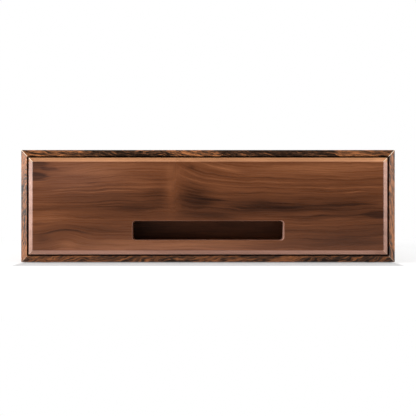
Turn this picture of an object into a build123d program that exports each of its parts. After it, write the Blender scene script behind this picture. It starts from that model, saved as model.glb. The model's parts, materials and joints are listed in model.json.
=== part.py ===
"""A desktop cigar humidor with one drawer, in millimetres.

A mitred casing of figured wood has a bevelled front edge, and inside it a cedar lining. One drawer with
a bevelled walnut front slides in it on two wooden runners. A long slot in the front opens into a pocket,
where the fingers hook behind the front. A soft seal on a plate behind the pocket meets the front edges of
the lining. The drawer holds an instrument bay, with a dial hygrometer and a humidifier in its shelf, and
two dividers that hang from rails.

X runs to the right, Y from the front to the back and Z up. The origin is on the table, under the middle of
the box.
"""

from build123d import *

import math
import os

# The casing
case_width = 440.0
overall_depth = 280.0
case_height = 132.0
wall = 7.5
case_bevel_depth = 4.3
case_edge_round = 0.9
back_thickness = 6.0
back_rebate = 3.5
spline_thickness = 2.0
spline_width = 6.0
spline_inset = 0.8
spline_end_gap = 12.0
lining = 5.0
foot_diameter = 16.0
foot_thickness = 2.5
foot_recess = 1.5
foot_inset = 26.0

# The drawer's front, pocket and seal
drawer_gap = 1.8
drawer_side_gap = 2.3
front_proud = 3.0
front_thickness = 18.0
front_bevel_width = 5.3
front_bevel_depth = 3.0
front_edge_round = 0.6
slot_width = 177.0
slot_height = 22.2
slot_corner = 3.2
slot_drop = 28.6
slot_arris = 0.7
pocket_depth = 20.0
pocket_side_room = 10.0
pocket_room_below = 4.0
pocket_room_above = 26.0
pocket_corner = 6.0
layer_inset = 1.0
plate_thickness = 5.0
seal_width = 5.0
seal_thickness = 2.0
seal_gap = 0.3

# The drawer's box
box_clearance = 3.5
box_wall = 9.0
rear_gap = 0.5
tail_count = 4
tail_slope = 9.0
half_pin = 6.0
pin_width = 9.0
back_setback = 7.5
housing_depth = 3.0
bottom_thickness = 5.0
bottom_margin = 4.0
bottom_groove = 4.0
drawer_travel = 170.0

# The runners
runner_height = 10.0
runner_play = 0.2
groove_depth = 5.0
runner_tip_gap = 0.4
runner_front_setback = 8.0
runner_end_gap = 0.5

# The magnets that hold the drawer shut
magnet_diameter = 6.0
magnet_length = 4.0
magnet_height = 30.0

# The stop that keeps the drawer from leaving the casing
button_width = 10.0
button_thickness = 2.0
button_reach = 2.5
button_tail = 9.0
button_pivot_drop = 11.0
strip_length = 60.0
strip_width = 10.0
strip_clearance = 0.6
stop_play = 0.3

# Screws
screw_play = 0.05
front_screw_diameter = 3.5
front_screw_length = 44.0
front_screw_column = 150.0
front_screw_rows = (15.0, 71.0)
runner_screw_diameter = 3.0
runner_screw_length = 16.0
runner_screw_count = 3
runner_screw_margin = 30.0
button_screw_diameter = 3.0
button_screw_length = 9.0
head_ratio = 2.0
driver_slot = 0.8

# The instrument bay
bay_width = 58.0
partition_thickness = 6.0
partition_housing = 2.0
vent_width = 5.0
vent_height = 46.0
vent_pitch = 20.0
vent_margin = 22.0
shelf_thickness = 6.0
shelf_drop = 4.0
shelf_play = 0.3
cleat = 6.0

# The hygrometer
gauge_front_room = 36.0
gauge_radius = 20.0
gauge_wall = 2.0
gauge_floor = 1.2
gauge_depth = 15.0
gauge_flange_width = 1.0
gauge_flange = 0.7
gauge_play = 0.2
bezel_width = 2.0
bezel_height = 2.4
bezel_face = 4.9
bezel_round = 0.7
bezel_play = 0.1
glass_thickness = 1.2
glass_drop = 0.6
glass_ledge = 1.0
dial_thickness = 0.5
dial_drop = 3.0
dial_ledge = 1.3
boss_radius = 2.5
boss_height = 4.0
shaft_radius = 0.75
shaft_play = 0.05
shaft_above_dial = 1.9
needle_length = 14.0
needle_tail = 5.0
needle_hub = 1.7
needle_thickness = 0.5
needle_lift = 1.1
needle_bore_play = 0.02
coil_start = 1.3
coil_pitch = 0.7
coil_turns = 5
coil_thickness = 0.4
coil_height = 3.0
coil_lift = 1.2
coil_post_radius = 0.4
gauge_vent_radius = 1.5
gauge_vent_ring = 10.5
gauge_vent_count = 6

# The humidifier
humidifier_width = 42.0
humidifier_rim = 3.0
humidifier_flange = 1.2
humidifier_depth = 22.0
humidifier_wall = 1.5
humidifier_corner = 4.0
humidifier_play = 0.3
humidifier_front_gap = 18.0
humidifier_rear_room = 14.0
foam_play = 0.3
foam_top_gap = 4.0
grille_thickness = 1.6
grille_inset = 1.5
grille_slot = 3.0
grille_pitch = 6.5
grille_margin = 6.0
lip_depth = 2.0
lip_wall = 1.2

# The dividers
rail_width = 6.0
rail_height = 8.0
rail_drop = 11.0
divider_thickness = 5.0
divider_play = 0.4
divider_floor_gap = 1.0
divider_ear_play = 0.2
divider_ear_height = 6.0
divider_rest = (-22.0, 86.0)
thumb_radius = 14.0
thumb_depth = 9.0
divider_vent_length = 24.0
divider_vent_height = 5.0
divider_vent_rows = 3
divider_vent_columns = 4
divider_vent_row_pitch = 18.0
divider_vent_column_pitch = 42.0

# Planes of the casing, from the table up and from the front back
foot_proud = foot_thickness - foot_recess
case_bottom = foot_proud
case_top = case_bottom + case_height
case_half = case_width / 2
case_middle = (case_bottom + case_top) / 2
front = -overall_depth / 2
case_front = front + front_proud
back = overall_depth / 2
inner_half = case_half - wall
inner_bottom = case_bottom + wall
inner_top = case_top - wall
lined_half = inner_half - lining
lined_bottom = inner_bottom + lining
lined_top = inner_top - lining
back_inside = back - back_thickness
lined_back = back_inside - lining

# Planes of the drawer's front, its pocket and its seal
front_half = inner_half - drawer_side_gap
front_bottom = inner_bottom + drawer_gap
front_top = inner_top - drawer_gap
slot_middle = case_middle - slot_drop
slot_bottom = slot_middle - slot_height / 2
slot_top = slot_middle + slot_height / 2
frame_front = front + front_thickness
plate_front = frame_front + pocket_depth
plate_back = plate_front + plate_thickness
layer_half = front_half - layer_inset
layer_bottom = front_bottom + layer_inset
layer_top = front_top - layer_inset
seal_back = plate_back + seal_thickness
lining_front = seal_back + seal_gap
pocket_half = slot_width / 2 + pocket_side_room
pocket_bottom = slot_bottom - pocket_room_below
pocket_top = slot_top + pocket_room_above

# Planes of the drawer's box
box_half = lined_half - box_clearance
box_bottom = lined_bottom + box_clearance
box_top = lined_top - box_clearance
box_rear = lined_back - rear_gap
box_inner_half = box_half - box_wall
box_inner_front = plate_back + box_wall
back_board_rear = box_rear - back_setback
back_board_front = back_board_rear - box_wall
floor_bottom = box_bottom + bottom_margin
floor_top = floor_bottom + bottom_thickness

# The runner and its groove
runner_bottom = case_middle - runner_height / 2
runner_top = case_middle + runner_height / 2
groove_half = box_half - groove_depth
runner_half = groove_half + runner_tip_gap
runner_front = box_inner_front + runner_front_setback
runner_rear = lined_back - runner_end_gap

# The stop
button_pivot = box_top - button_pivot_drop
button_top = box_top + button_reach
strip_bottom = box_top + strip_clearance
strip_rear = back_board_rear - drawer_travel - stop_play

# The instrument bay
bay_right = -box_inner_half + bay_width
partition_right = bay_right + partition_thickness
shelf_top = box_top - shelf_drop
shelf_bottom = shelf_top - shelf_thickness
bay_middle = (bay_right - box_inner_half) / 2
gauge_middle = box_inner_front + gauge_front_room
humidifier_front = gauge_middle + gauge_radius + bezel_width + humidifier_front_gap
humidifier_rear = back_board_front - humidifier_rear_room
humidifier_length = humidifier_rear - humidifier_front
humidifier_middle = (humidifier_front + humidifier_rear) / 2

# Levels in the hygrometer
gauge_flange_top = shelf_top + gauge_flange
gauge_base = shelf_top - gauge_depth
gauge_inner = gauge_radius - gauge_wall
glass_bottom = shelf_top - glass_drop
dial_top = shelf_top - dial_drop
dial_bottom = dial_top - dial_thickness
boss_top = gauge_base + gauge_floor + boss_height
coil_bottom = boss_top + coil_lift
coil_top = coil_bottom + coil_height
coil_end = coil_start + coil_turns * coil_pitch

# Levels in the humidifier
flange_top = shelf_top + humidifier_flange
tray_bottom = shelf_top - humidifier_depth
tray_length = humidifier_length - 2 * humidifier_rim
tray_width = humidifier_width - 2 * humidifier_rim
tray_inner_length = tray_length - 2 * humidifier_wall
tray_inner_width = tray_width - 2 * humidifier_wall
tray_inner_corner = humidifier_corner - humidifier_wall

# The dividers' rails
rail_top = box_top - rail_drop
rail_bottom = rail_top - rail_height
rail_inner_front = box_inner_front + rail_width
rail_inner_back = back_board_front - rail_width

overlap = 1.0  # how far a cutting shape runs past what it cuts
round_bite = 0.02  # how far a long edge's rounding cuts into the faces beside it


def block(x_low, x_high, y_low, y_high, z_low, z_high):
    """A box between two corners."""
    size = (x_high - x_low, y_high - y_low, z_high - z_low)
    middle = ((x_low + x_high) / 2, (y_low + y_high) / 2, (z_low + z_high) / 2)
    return Pos(*middle) * Box(*size)


def prism_along_y(points, y_low, y_high):
    """A closed outline of (x, z) points, carried from y_low to y_high."""
    outline = Polyline([(x, y_low, z) for x, z in points], close=True)
    return extrude(make_face(outline), amount=y_high - y_low, dir=(0, 1, 0))


def prism_along_x(points, x_low, x_high):
    """A closed outline of (y, z) points, carried from x_low to x_high."""
    outline = Polyline([(x_low, y, z) for y, z in points], close=True)
    return extrude(make_face(outline), amount=x_high - x_low, dir=(1, 0, 0))


def rounded_slab_y(half_width, z_low, z_high, corner, y_low, y_high):
    """A slab with rounded corners in its XZ outline, centred on x = 0."""
    slab = block(-half_width, half_width, y_low, y_high, z_low, z_high)
    return fillet(slab.edges().filter_by(Axis.Y), corner)


def rounded_slab_z(length, width, corner, z_low, z_high):
    """A slab with rounded corners, its width along X and its length along Y."""
    slab = block(-width / 2, width / 2, -length / 2, length / 2, z_low, z_high)
    return fillet(slab.edges().filter_by(Axis.Z), corner)


def slot_through_x(x_low, x_high, y, z, along_y, along_z):
    """A cutter with round ends, carried along X. It is long in Y or in Z."""
    plane = Plane(origin=(x_low, y, z), x_dir=(0, 1, 0), z_dir=(1, 0, 0))
    turn = 0 if along_y > along_z else 90
    outline = SlotOverall(max(along_y, along_z), min(along_y, along_z), rotation=turn)
    return extrude(plane * outline, amount=x_high - x_low)


def screw(diameter, length):
    """A countersunk slotted wood screw. Its head's flat face is at z = 0, and it points down."""
    radius = diameter / 2
    head_radius = radius * head_ratio
    profile = [
        (0, 0),
        (head_radius, 0),
        (radius, radius - head_radius),
        (radius, 2 * radius - length),
        (0, -length),
    ]
    outline = Polyline([(r, 0, z) for r, z in profile], close=True)
    body = revolve(make_face(outline), axis=Axis.Z)
    return body - Box(2 * head_radius, driver_slot, 2 * driver_slot)


def screw_hole(diameter, length):
    """What a screw's hole takes away, with its play all round."""
    radius = diameter / 2 + screw_play
    head_radius = radius * head_ratio
    profile = [
        (0, overlap),
        (head_radius, overlap),
        (head_radius, 0),
        (radius, radius - head_radius),
        (radius, -length - screw_play),
        (0, -length - screw_play),
    ]
    outline = Polyline([(r, 0, z) for r, z in profile], close=True)
    return revolve(make_face(outline), axis=Axis.Z)


def bevelled(half_width, y_low, y_high, z_low, z_high, width, depth, rounding):
    """A slab with its front edges cut back, and its ridges and long edges eased."""
    slab = block(-half_width, half_width, y_low, y_high, z_low, z_high)
    face = slab.faces().sort_by(Axis.Y)[0]
    slab = chamfer(face.edges(), length=width, length2=depth, reference=face)
    ridges = [e for e in slab.edges() if depth / 2 < e.bounding_box().size.Y < 2 * depth]
    slab = fillet(ridges, rounding)
    reach = rounding - round_bite
    length = y_high - y_low + 2 * overlap
    rod = Rot(90, 0, 0) * Cylinder(rounding, length + overlap)
    waste = Box(reach + overlap, length, reach + overlap)
    shift = (reach + overlap) / 2
    for x_side in (-1, 1):
        for z_side, z_edge in ((1, z_high), (-1, z_low)):
            x, z = x_side * (half_width - reach), z_edge - z_side * reach
            corner = Pos(x_side * shift, 0, z_side * shift) * waste - rod
            slab -= Pos(x, (y_low + y_high) / 2, z) * corner
    return slab


def casing_shell():
    """The four walls of the casing in one piece. The bevel runs over their whole thickness."""
    outer = bevelled(
        case_half, case_front, back, case_bottom, case_top, wall, case_bevel_depth, case_edge_round
    )
    hollow = block(-inner_half, inner_half, case_front - overlap, back + overlap, inner_bottom, inner_top)
    rebate = block(
        -inner_half - back_rebate,
        inner_half + back_rebate,
        back_inside,
        back + overlap,
        inner_bottom - back_rebate,
        inner_top + back_rebate,
    )
    return outer - hollow - rebate


def mitre_wedge(side):
    """The space of one wall between the mitre planes: top, bottom, left or right."""
    x_out, x_in = case_half + overlap, inner_half - overlap
    z_high, z_low = case_top + overlap, case_bottom - overlap
    z_high_in, z_low_in = inner_top - overlap, inner_bottom + overlap
    corners = {
        "top": [(-x_out, z_high), (x_out, z_high), (x_in, z_high_in), (-x_in, z_high_in)],
        "bottom": [(-x_out, z_low), (x_out, z_low), (x_in, z_low_in), (-x_in, z_low_in)],
        "left": [(-x_out, z_low), (-x_out, z_high), (-x_in, z_high_in), (-x_in, z_low_in)],
        "right": [(x_out, z_low), (x_out, z_high), (x_in, z_high_in), (x_in, z_low_in)],
    }
    return prism_along_y(corners[side], case_front - overlap, back + overlap)


def mitre_splines():
    """The four loose tongues across the mitres."""
    y_low = case_front + spline_end_gap
    y_high = back_inside - spline_end_gap
    tongue = Box(spline_width, y_high - y_low, spline_thickness)
    y_middle = (y_low + y_high) / 2
    inset = wall / 2 + spline_inset
    splines = []
    for x_side in (-1, 1):
        for z_side, z_edge in ((1, case_top), (-1, case_bottom)):
            turn = 45.0 * x_side * z_side
            place = Pos(x_side * (case_half - inset), y_middle, z_edge - z_side * inset)
            splines.append(place * Rot(0, -turn, 0) * tongue)
    return splines


def foot_places():
    """The middle of each foot pad."""
    x = case_half - foot_inset
    y = overall_depth / 2 - foot_inset
    return [(sx * x, sy * y) for sx in (-1, 1) for sy in (-1, 1)]


def runner_screw_places():
    """Where the screws stand along a runner."""
    first = runner_front + runner_screw_margin
    last = runner_rear - runner_screw_margin
    step = (last - first) / (runner_screw_count - 1)
    return [first + i * step for i in range(runner_screw_count)]


def on_runner(shape, side):
    """A screw or its hole, set into both runners' inner faces, pointing outwards."""
    turn = Rot(0, -90 * side, 0)
    x = side * runner_half
    return [Pos(x, y, case_middle) * turn * shape for y in runner_screw_places()]


def lining_boards():
    """The cedar boards inside the casing."""
    x, y = inner_half, lining_front
    boards = {
        "lining_bottom": block(-x, x, y, back_inside, inner_bottom, lined_bottom),
        "lining_top": block(-x, x, y, back_inside, lined_top, inner_top),
        "lining_back": block(-x, x, lined_back, back_inside, lined_bottom, lined_top),
        "lining_left": block(-x, -lined_half, y, lined_back, lined_bottom, lined_top),
        "lining_right": block(lined_half, x, y, lined_back, lined_bottom, lined_top),
    }
    return boards


def magnet_places():
    """The axis of each pair of magnets, as (x, z)."""
    x = box_half - box_wall / 2
    z = case_middle + magnet_height
    return [(-x, z), (x, z)]


def magnet_rods(y_low):
    """One magnet on each side, its front face at y_low."""
    rod = Rot(90, 0, 0) * Cylinder(magnet_diameter / 2, magnet_length)
    return [Pos(x, y_low + magnet_length / 2, z) * rod for x, z in magnet_places()]


def casing():
    """Every piece that stays with the casing."""
    shell = casing_shell()
    splines = mitre_splines()
    walls = {side: shell & mitre_wedge(side) for side in ("top", "bottom", "left", "right")}
    walls = {side: walls[side] - splines for side in walls}
    pads = [
        Pos(x, y, foot_thickness / 2) * Cylinder(foot_diameter / 2, foot_thickness)
        for x, y in foot_places()
    ]
    walls["bottom"] = walls["bottom"] - pads
    boards = lining_boards()
    hole = screw_hole(runner_screw_diameter, runner_screw_length)
    rod = screw(runner_screw_diameter, runner_screw_length)
    runners, screws = {}, []
    for name, side in (("left", -1), ("right", 1)):
        holes = on_runner(hole, side)
        low, high = sorted((side * runner_half, side * lined_half))
        bar = block(low, high, runner_front, runner_rear, runner_bottom, runner_top)
        runners[name] = bar - holes
        walls[name] = walls[name] - holes
        boards["lining_" + name] = boards["lining_" + name] - holes
        screws += on_runner(rod, side)
    magnets = magnet_rods(lined_back)
    boards["lining_back"] = boards["lining_back"] - magnets
    rebate_half = inner_half + back_rebate
    strip_half = strip_length / 2
    return {
        **{"casing_" + side: walls[side] for side in walls},
        "casing_back": block(
            -rebate_half,
            rebate_half,
            back_inside,
            back,
            inner_bottom - back_rebate,
            inner_top + back_rebate,
        ),
        "mitre_splines": Compound(splines),
        **boards,
        "runner_left": runners["left"],
        "runner_right": runners["right"],
        "runner_screws": Compound(screws),
        "stop_strip": block(
            -strip_half, strip_half, strip_rear - strip_width, strip_rear, strip_bottom, lined_top
        ),
        "casing_magnets": Compound(magnets),
        "foot_pads": Compound(pads),
    }


def front_screw_places():
    """Where the screws stand in the drawer's inner front, as (x, z)."""
    rows = [box_bottom + row for row in front_screw_rows]
    return [(x, z) for x in (-front_screw_column, front_screw_column) for z in rows]


def at_front_screws(shape):
    """A screw or its hole, set into the back of the drawer's inner front, pointing forwards."""
    turn = Rot(-90, 0, 0)
    return [Pos(x, box_inner_front, z) * turn * shape for x, z in front_screw_places()]


def drawer_front_board():
    """The bevelled walnut front with its finger slot."""
    board = bevelled(
        front_half,
        front,
        frame_front,
        front_bottom,
        front_top,
        front_bevel_width,
        front_bevel_depth,
        front_edge_round,
    )
    slot = rounded_slab_y(
        slot_width / 2, slot_bottom, slot_top, slot_corner, front - overlap, frame_front + overlap
    )
    board = board - slot
    rim = [
        e
        for e in board.edges()
        if abs(e.center().Y - front) < slot_arris / 2
        and e.bounding_box().max.Z < slot_top + overlap
        and e.bounding_box().min.Z > slot_bottom - overlap
    ]
    return fillet(rim, slot_arris)


def drawer_front_layers():
    """The front, the board with the pocket, and the plate that closes it and carries the seal."""
    holes = at_front_screws(screw_hole(front_screw_diameter, front_screw_length))
    layer = (-layer_half, layer_half)
    pocket = rounded_slab_y(
        pocket_half, pocket_bottom, pocket_top, pocket_corner, frame_front - overlap, plate_front + overlap
    )
    frame = block(*layer, frame_front, plate_front, layer_bottom, layer_top) - pocket
    plate = block(*layer, plate_front, plate_back, layer_bottom, layer_top)
    ring = block(*layer, plate_back, seal_back, layer_bottom, layer_top)
    ring -= block(
        seal_width - layer_half,
        layer_half - seal_width,
        plate_back - overlap,
        seal_back + overlap,
        layer_bottom + seal_width,
        layer_top - seal_width,
    )
    return {
        "drawer_front": drawer_front_board() - holes,
        "pocket_frame": frame - holes,
        "seal_plate": plate - holes,
        "drawer_seal": ring,
    }


def tails():
    """The dovetails in one corner of the drawer, as outlines of (y, z) points."""
    pitch = (box_top - box_bottom - 2 * half_pin + pin_width) / tail_count
    flare = box_wall * math.tan(math.radians(tail_slope))
    outlines = []
    for i in range(tail_count):
        low = box_bottom + half_pin + i * pitch
        high = low + pitch - pin_width
        outlines.append(
            [
                (box_inner_front, low),
                (plate_back, low - flare),
                (plate_back, high + flare),
                (box_inner_front, high),
            ]
        )
    return outlines


def drawer_side(side):
    """One side of the drawer, with its dovetails, its runner's groove and its housings."""
    low, high = sorted((side * box_inner_half, side * box_half))
    board = block(low, high, box_inner_front, box_rear, box_bottom, box_top)
    for outline in tails():
        board += prism_along_x(outline, low, high)
    low, high = sorted((side * groove_half, side * (box_half + overlap)))
    groove = block(
        low,
        high,
        runner_front - runner_tip_gap,
        box_rear + overlap,
        runner_bottom - runner_play,
        runner_top + runner_play,
    )
    low, high = sorted((side * (box_inner_half - overlap), side * (box_inner_half + housing_depth)))
    housing = block(low, high, back_board_front, back_board_rear, floor_top, box_top + overlap)
    return board - groove - housing


def drawer_floor():
    """The cedar floor, held in grooves in the sides and the inner front."""
    half = box_inner_half + bottom_groove
    y_low = box_inner_front - bottom_groove
    return block(-half, half, y_low, back_board_rear, floor_bottom, floor_top)


def drawer_inner_front():
    """The drawer's inner front, with the pins between the tails."""
    board = block(-box_half, box_half, plate_back, box_inner_front, box_bottom, box_top)
    for outline in tails():
        board -= prism_along_x(outline, -box_half - overlap, -box_inner_half)
        board -= prism_along_x(outline, box_inner_half, box_half + overlap)
    return board


def bay_partition():
    """The vented wall between the instrument bay and the cigars."""
    board = block(
        bay_right,
        partition_right,
        box_inner_front - partition_housing,
        back_board_front + partition_housing,
        floor_top,
        shelf_bottom,
    )
    span = back_board_front - box_inner_front - 2 * vent_margin
    count = int(span / vent_pitch) + 1
    first = (box_inner_front + back_board_front - (count - 1) * vent_pitch) / 2
    x_low, x_high = bay_right - overlap, partition_right + overlap
    middle = (floor_top + shelf_bottom) / 2
    return board - [
        slot_through_x(x_low, x_high, first + i * vent_pitch, middle, vent_width, vent_height)
        for i in range(count)
    ]


def bay_shelf():
    """The shelf over the instrument bay, with the hygrometer's and the humidifier's holes."""
    board = block(
        shelf_play - box_inner_half,
        partition_right,
        box_inner_front + shelf_play,
        back_board_front - shelf_play,
        shelf_bottom,
        shelf_top,
    )
    middle = (shelf_bottom + shelf_top) / 2
    gauge_hole = Cylinder(gauge_radius + gauge_play, shelf_thickness + overlap)
    tray_hole = rounded_slab_z(
        tray_length + 2 * humidifier_play,
        tray_width + 2 * humidifier_play,
        humidifier_corner,
        shelf_bottom - overlap,
        shelf_top + overlap,
    )
    board -= Pos(bay_middle, gauge_middle, middle) * gauge_hole
    return board - Pos(bay_middle, humidifier_middle, 0) * tray_hole


def turned(profile):
    """A solid turned from (radius, z) points about the hygrometer's axis."""
    outline = Polyline([(r, 0, z) for r, z in profile], close=True)
    solid = revolve(make_face(outline), axis=Axis.Z)
    return Pos(bay_middle, gauge_middle, 0) * solid


def gauge_case():
    """The cup that holds the hygrometer's works, with a bearing and the coil's post on its floor."""
    floor = gauge_base + gauge_floor
    ledge = gauge_inner - dial_ledge
    seat = gauge_inner + glass_ledge
    bore = shaft_radius + shaft_play
    flange = gauge_radius + gauge_flange_width
    cup = turned(
        [
            (0, gauge_base),
            (gauge_radius, gauge_base),
            (gauge_radius, shelf_top),
            (flange, shelf_top),
            (flange, gauge_flange_top),
            (seat + gauge_play, gauge_flange_top),
            (seat + gauge_play, glass_bottom),
            (gauge_inner, glass_bottom),
            (gauge_inner, dial_bottom),
            (ledge, dial_bottom),
            (ledge, floor),
            (boss_radius, floor),
            (boss_radius, boss_top),
            (bore, boss_top),
            (bore, floor),
            (0, floor),
        ]
    )
    vent = Cylinder(gauge_vent_radius, 4 * gauge_floor)
    step = 360.0 / gauge_vent_count
    centre = Pos(bay_middle, gauge_middle, gauge_base)
    post_height = coil_top - floor
    post = Cylinder(coil_post_radius, post_height)
    cup += (
        Pos(bay_middle, gauge_middle, floor)
        * Pos(coil_end, coil_post_radius + shaft_play, post_height / 2)
        * post
    )
    return cup - [
        centre * Rot(0, 0, i * step) * Pos(gauge_vent_ring, 0, 0) * vent
        for i in range(gauge_vent_count)
    ]


def gauge_bezel():
    """The brass ring over the hygrometer's glass."""
    outer = gauge_radius + bezel_width
    inner = gauge_radius + bezel_width - bezel_face
    seat = gauge_radius + gauge_flange_width + bezel_play
    low = gauge_flange_top + bezel_play
    top = shelf_top + bezel_height
    return turned(
        [
            (seat, shelf_top),
            (outer, shelf_top),
            (outer, top - bezel_round),
            (outer - bezel_round, top),
            (inner + bezel_round, top),
            (inner, top - bezel_round),
            (inner, low),
            (seat, low),
        ]
    )


def spiral(offset):
    """Half circles that wind outwards, beside the coil's middle line, and their last point."""
    arcs = []
    centre, radius = 0.0, coil_start + offset
    for i in range(2 * coil_turns):
        side = 1 if i % 2 == 0 else -1
        end = (centre - side * radius, 0)
        arcs.append(ThreePointArc((centre + side * radius, 0), (centre, side * radius), end))
        centre += side * coil_pitch / 2
        radius += coil_pitch / 2
    return arcs, end


def gauge_coil():
    """The flat spiral strip that turns the needle as it takes up moisture."""
    half = coil_thickness / 2
    inner, inner_end = spiral(-half)
    outer, outer_end = spiral(half)
    ends = [Line((coil_start - half, 0), (coil_start + half, 0)), Line(inner_end, outer_end)]
    strip = extrude(make_face(Wire(inner + outer + ends)), amount=coil_height)
    return Pos(bay_middle, gauge_middle, coil_bottom) * strip


def gauge_needle():
    """The pointer, with a round hub and a short tail."""
    hub = Circle(needle_hub)
    blade = make_face(
        Polyline(
            [
                (-needle_hub / 2, 0),
                (-needle_hub / 4, needle_length),
                (needle_hub / 4, needle_length),
                (needle_hub / 2, 0),
                (needle_hub / 2, -needle_tail),
                (-needle_hub / 2, -needle_tail),
            ],
            close=True,
        )
    )
    outline = hub + blade - Circle(shaft_radius + needle_bore_play)
    z = dial_top + needle_lift
    return Pos(bay_middle, gauge_middle, z) * extrude(outline, amount=needle_thickness)


def hygrometer():
    """The dial hygrometer set into the shelf."""
    bore = shaft_radius + shaft_play
    seat = gauge_inner + glass_ledge
    shaft_foot = gauge_base + gauge_floor + shaft_play
    return {
        "hygrometer_case": gauge_case(),
        "hygrometer_dial": turned(
            [
                (bore, dial_bottom),
                (gauge_inner - gauge_play, dial_bottom),
                (gauge_inner - gauge_play, dial_top),
                (bore, dial_top),
            ]
        ),
        "hygrometer_coil": gauge_coil(),
        "hygrometer_shaft": turned(
            [
                (0, shaft_foot),
                (shaft_radius, shaft_foot),
                (shaft_radius, dial_top + shaft_above_dial),
                (0, dial_top + shaft_above_dial),
            ]
        ),
        "hygrometer_needle": gauge_needle(),
        "hygrometer_glass": turned(
            [
                (0, glass_bottom),
                (seat, glass_bottom),
                (seat, glass_bottom + glass_thickness),
                (0, glass_bottom + glass_thickness),
            ]
        ),
        "hygrometer_bezel": gauge_bezel(),
    }


def humidifier():
    """The humidifier that hangs by its flange in the shelf."""
    tray = rounded_slab_z(humidifier_length, humidifier_width, humidifier_corner, shelf_top, flange_top)
    tray += rounded_slab_z(tray_length, tray_width, humidifier_corner, tray_bottom, shelf_top)
    tray -= rounded_slab_z(
        tray_inner_length,
        tray_inner_width,
        tray_inner_corner,
        tray_bottom + humidifier_wall,
        flange_top + overlap,
    )
    foam = rounded_slab_z(
        tray_inner_length - 2 * foam_play,
        tray_inner_width - 2 * foam_play,
        tray_inner_corner,
        tray_bottom + humidifier_wall,
        shelf_top - foam_top_gap,
    )
    grille_length = humidifier_length - 2 * grille_inset
    grille_width = humidifier_width - 2 * grille_inset
    lip_length = tray_inner_length - 2 * foam_play
    lip_width = tray_inner_width - 2 * foam_play
    top = flange_top + grille_thickness
    grille_corner = humidifier_corner - grille_inset
    grille = rounded_slab_z(grille_length, grille_width, grille_corner, flange_top, top)
    lip = rounded_slab_z(lip_length, lip_width, tray_inner_corner, flange_top - lip_depth, flange_top)
    lip -= rounded_slab_z(
        lip_length - 2 * lip_wall,
        lip_width - 2 * lip_wall,
        tray_inner_corner - lip_wall,
        flange_top - lip_depth - overlap,
        flange_top,
    )
    grille += lip
    count = int((lip_length - 2 * grille_margin) / grille_pitch) + 1
    first = -(count - 1) * grille_pitch / 2
    opening = SlotOverall(lip_width - 2 * grille_margin, grille_slot)
    for i in range(count):
        plane = Plane.XY.offset(flange_top - overlap) * Pos(0, first + i * grille_pitch)
        grille -= extrude(plane * opening, amount=grille_thickness + 2 * overlap)
    place = Pos(bay_middle, humidifier_middle, 0)
    return {
        "humidifier_tray": place * tray,
        "humidifier_foam": place * foam,
        "humidifier_grille": place * grille,
    }


def divider(x):
    """A divider that hangs by its ears from the two rails, with a thumb notch and air slots."""
    half = divider_thickness / 2
    ear_bottom = rail_top + divider_ear_play
    ear_top = rail_top + divider_ear_height
    bottom = floor_top + divider_floor_gap
    panel = block(
        -half,
        half,
        rail_inner_front + divider_play,
        rail_inner_back - divider_play,
        bottom,
        ear_top,
    )
    ears = block(
        -half,
        half,
        box_inner_front + divider_play,
        back_board_front - divider_play,
        ear_bottom,
        ear_top,
    )
    middle = (rail_inner_front + rail_inner_back) / 2
    turn = Rot(0, 90, 0)
    thumb_lift = thumb_radius - thumb_depth
    thumb = Cylinder(thumb_radius, divider_thickness + overlap)
    board = panel + ears - Pos(0, middle, ear_top + thumb_lift) * turn * thumb
    z_middle = (bottom + rail_bottom) / 2
    for row in range(divider_vent_rows):
        z = z_middle + (row - (divider_vent_rows - 1) / 2) * divider_vent_row_pitch
        for column in range(divider_vent_columns):
            y = middle + (column - (divider_vent_columns - 1) / 2) * divider_vent_column_pitch
            board -= slot_through_x(
                -half - overlap, half + overlap, y, z, divider_vent_length, divider_vent_height
            )
    return Pos(x, 0, 0) * board


def stop_button():
    """The turn button on the back of the drawer and the screw that it turns on."""
    radius = button_screw_diameter / 2
    y_rear = back_board_rear + button_thickness
    low = button_pivot - button_tail
    plane = Plane(
        origin=(0, back_board_rear, (low + button_top) / 2), x_dir=(0, 0, 1), z_dir=(0, 1, 0)
    )
    bar = extrude(plane * SlotOverall(button_top - low, button_width), amount=button_thickness)
    bore = Pos(0, back_board_rear, button_pivot) * Rot(90, 0, 0)
    bar -= bore * Cylinder(radius + shaft_play, 4 * button_thickness)
    head_radius = radius * head_ratio
    head_height = radius
    profile = [
        (0, head_height),
        (head_radius / 2, head_height),
        (head_radius, head_height / 2),
        (head_radius, 0),
        (radius, 0),
        (radius, radius - button_screw_length),
        (0, -button_screw_length),
    ]
    outline = Polyline([(r, 0, z) for r, z in profile], close=True)
    pin = revolve(make_face(outline), axis=Axis.Z)
    pin -= Pos(0, 0, head_height) * Box(2 * head_radius, driver_slot, driver_slot)
    place = Pos(0, y_rear + shaft_play, button_pivot) * Rot(-90, 0, 0)
    hole = bore * Cylinder(radius + screw_play, 2 * button_screw_length)
    return {"stop_button": bar, "stop_button_screw": place * pin}, hole


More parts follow.
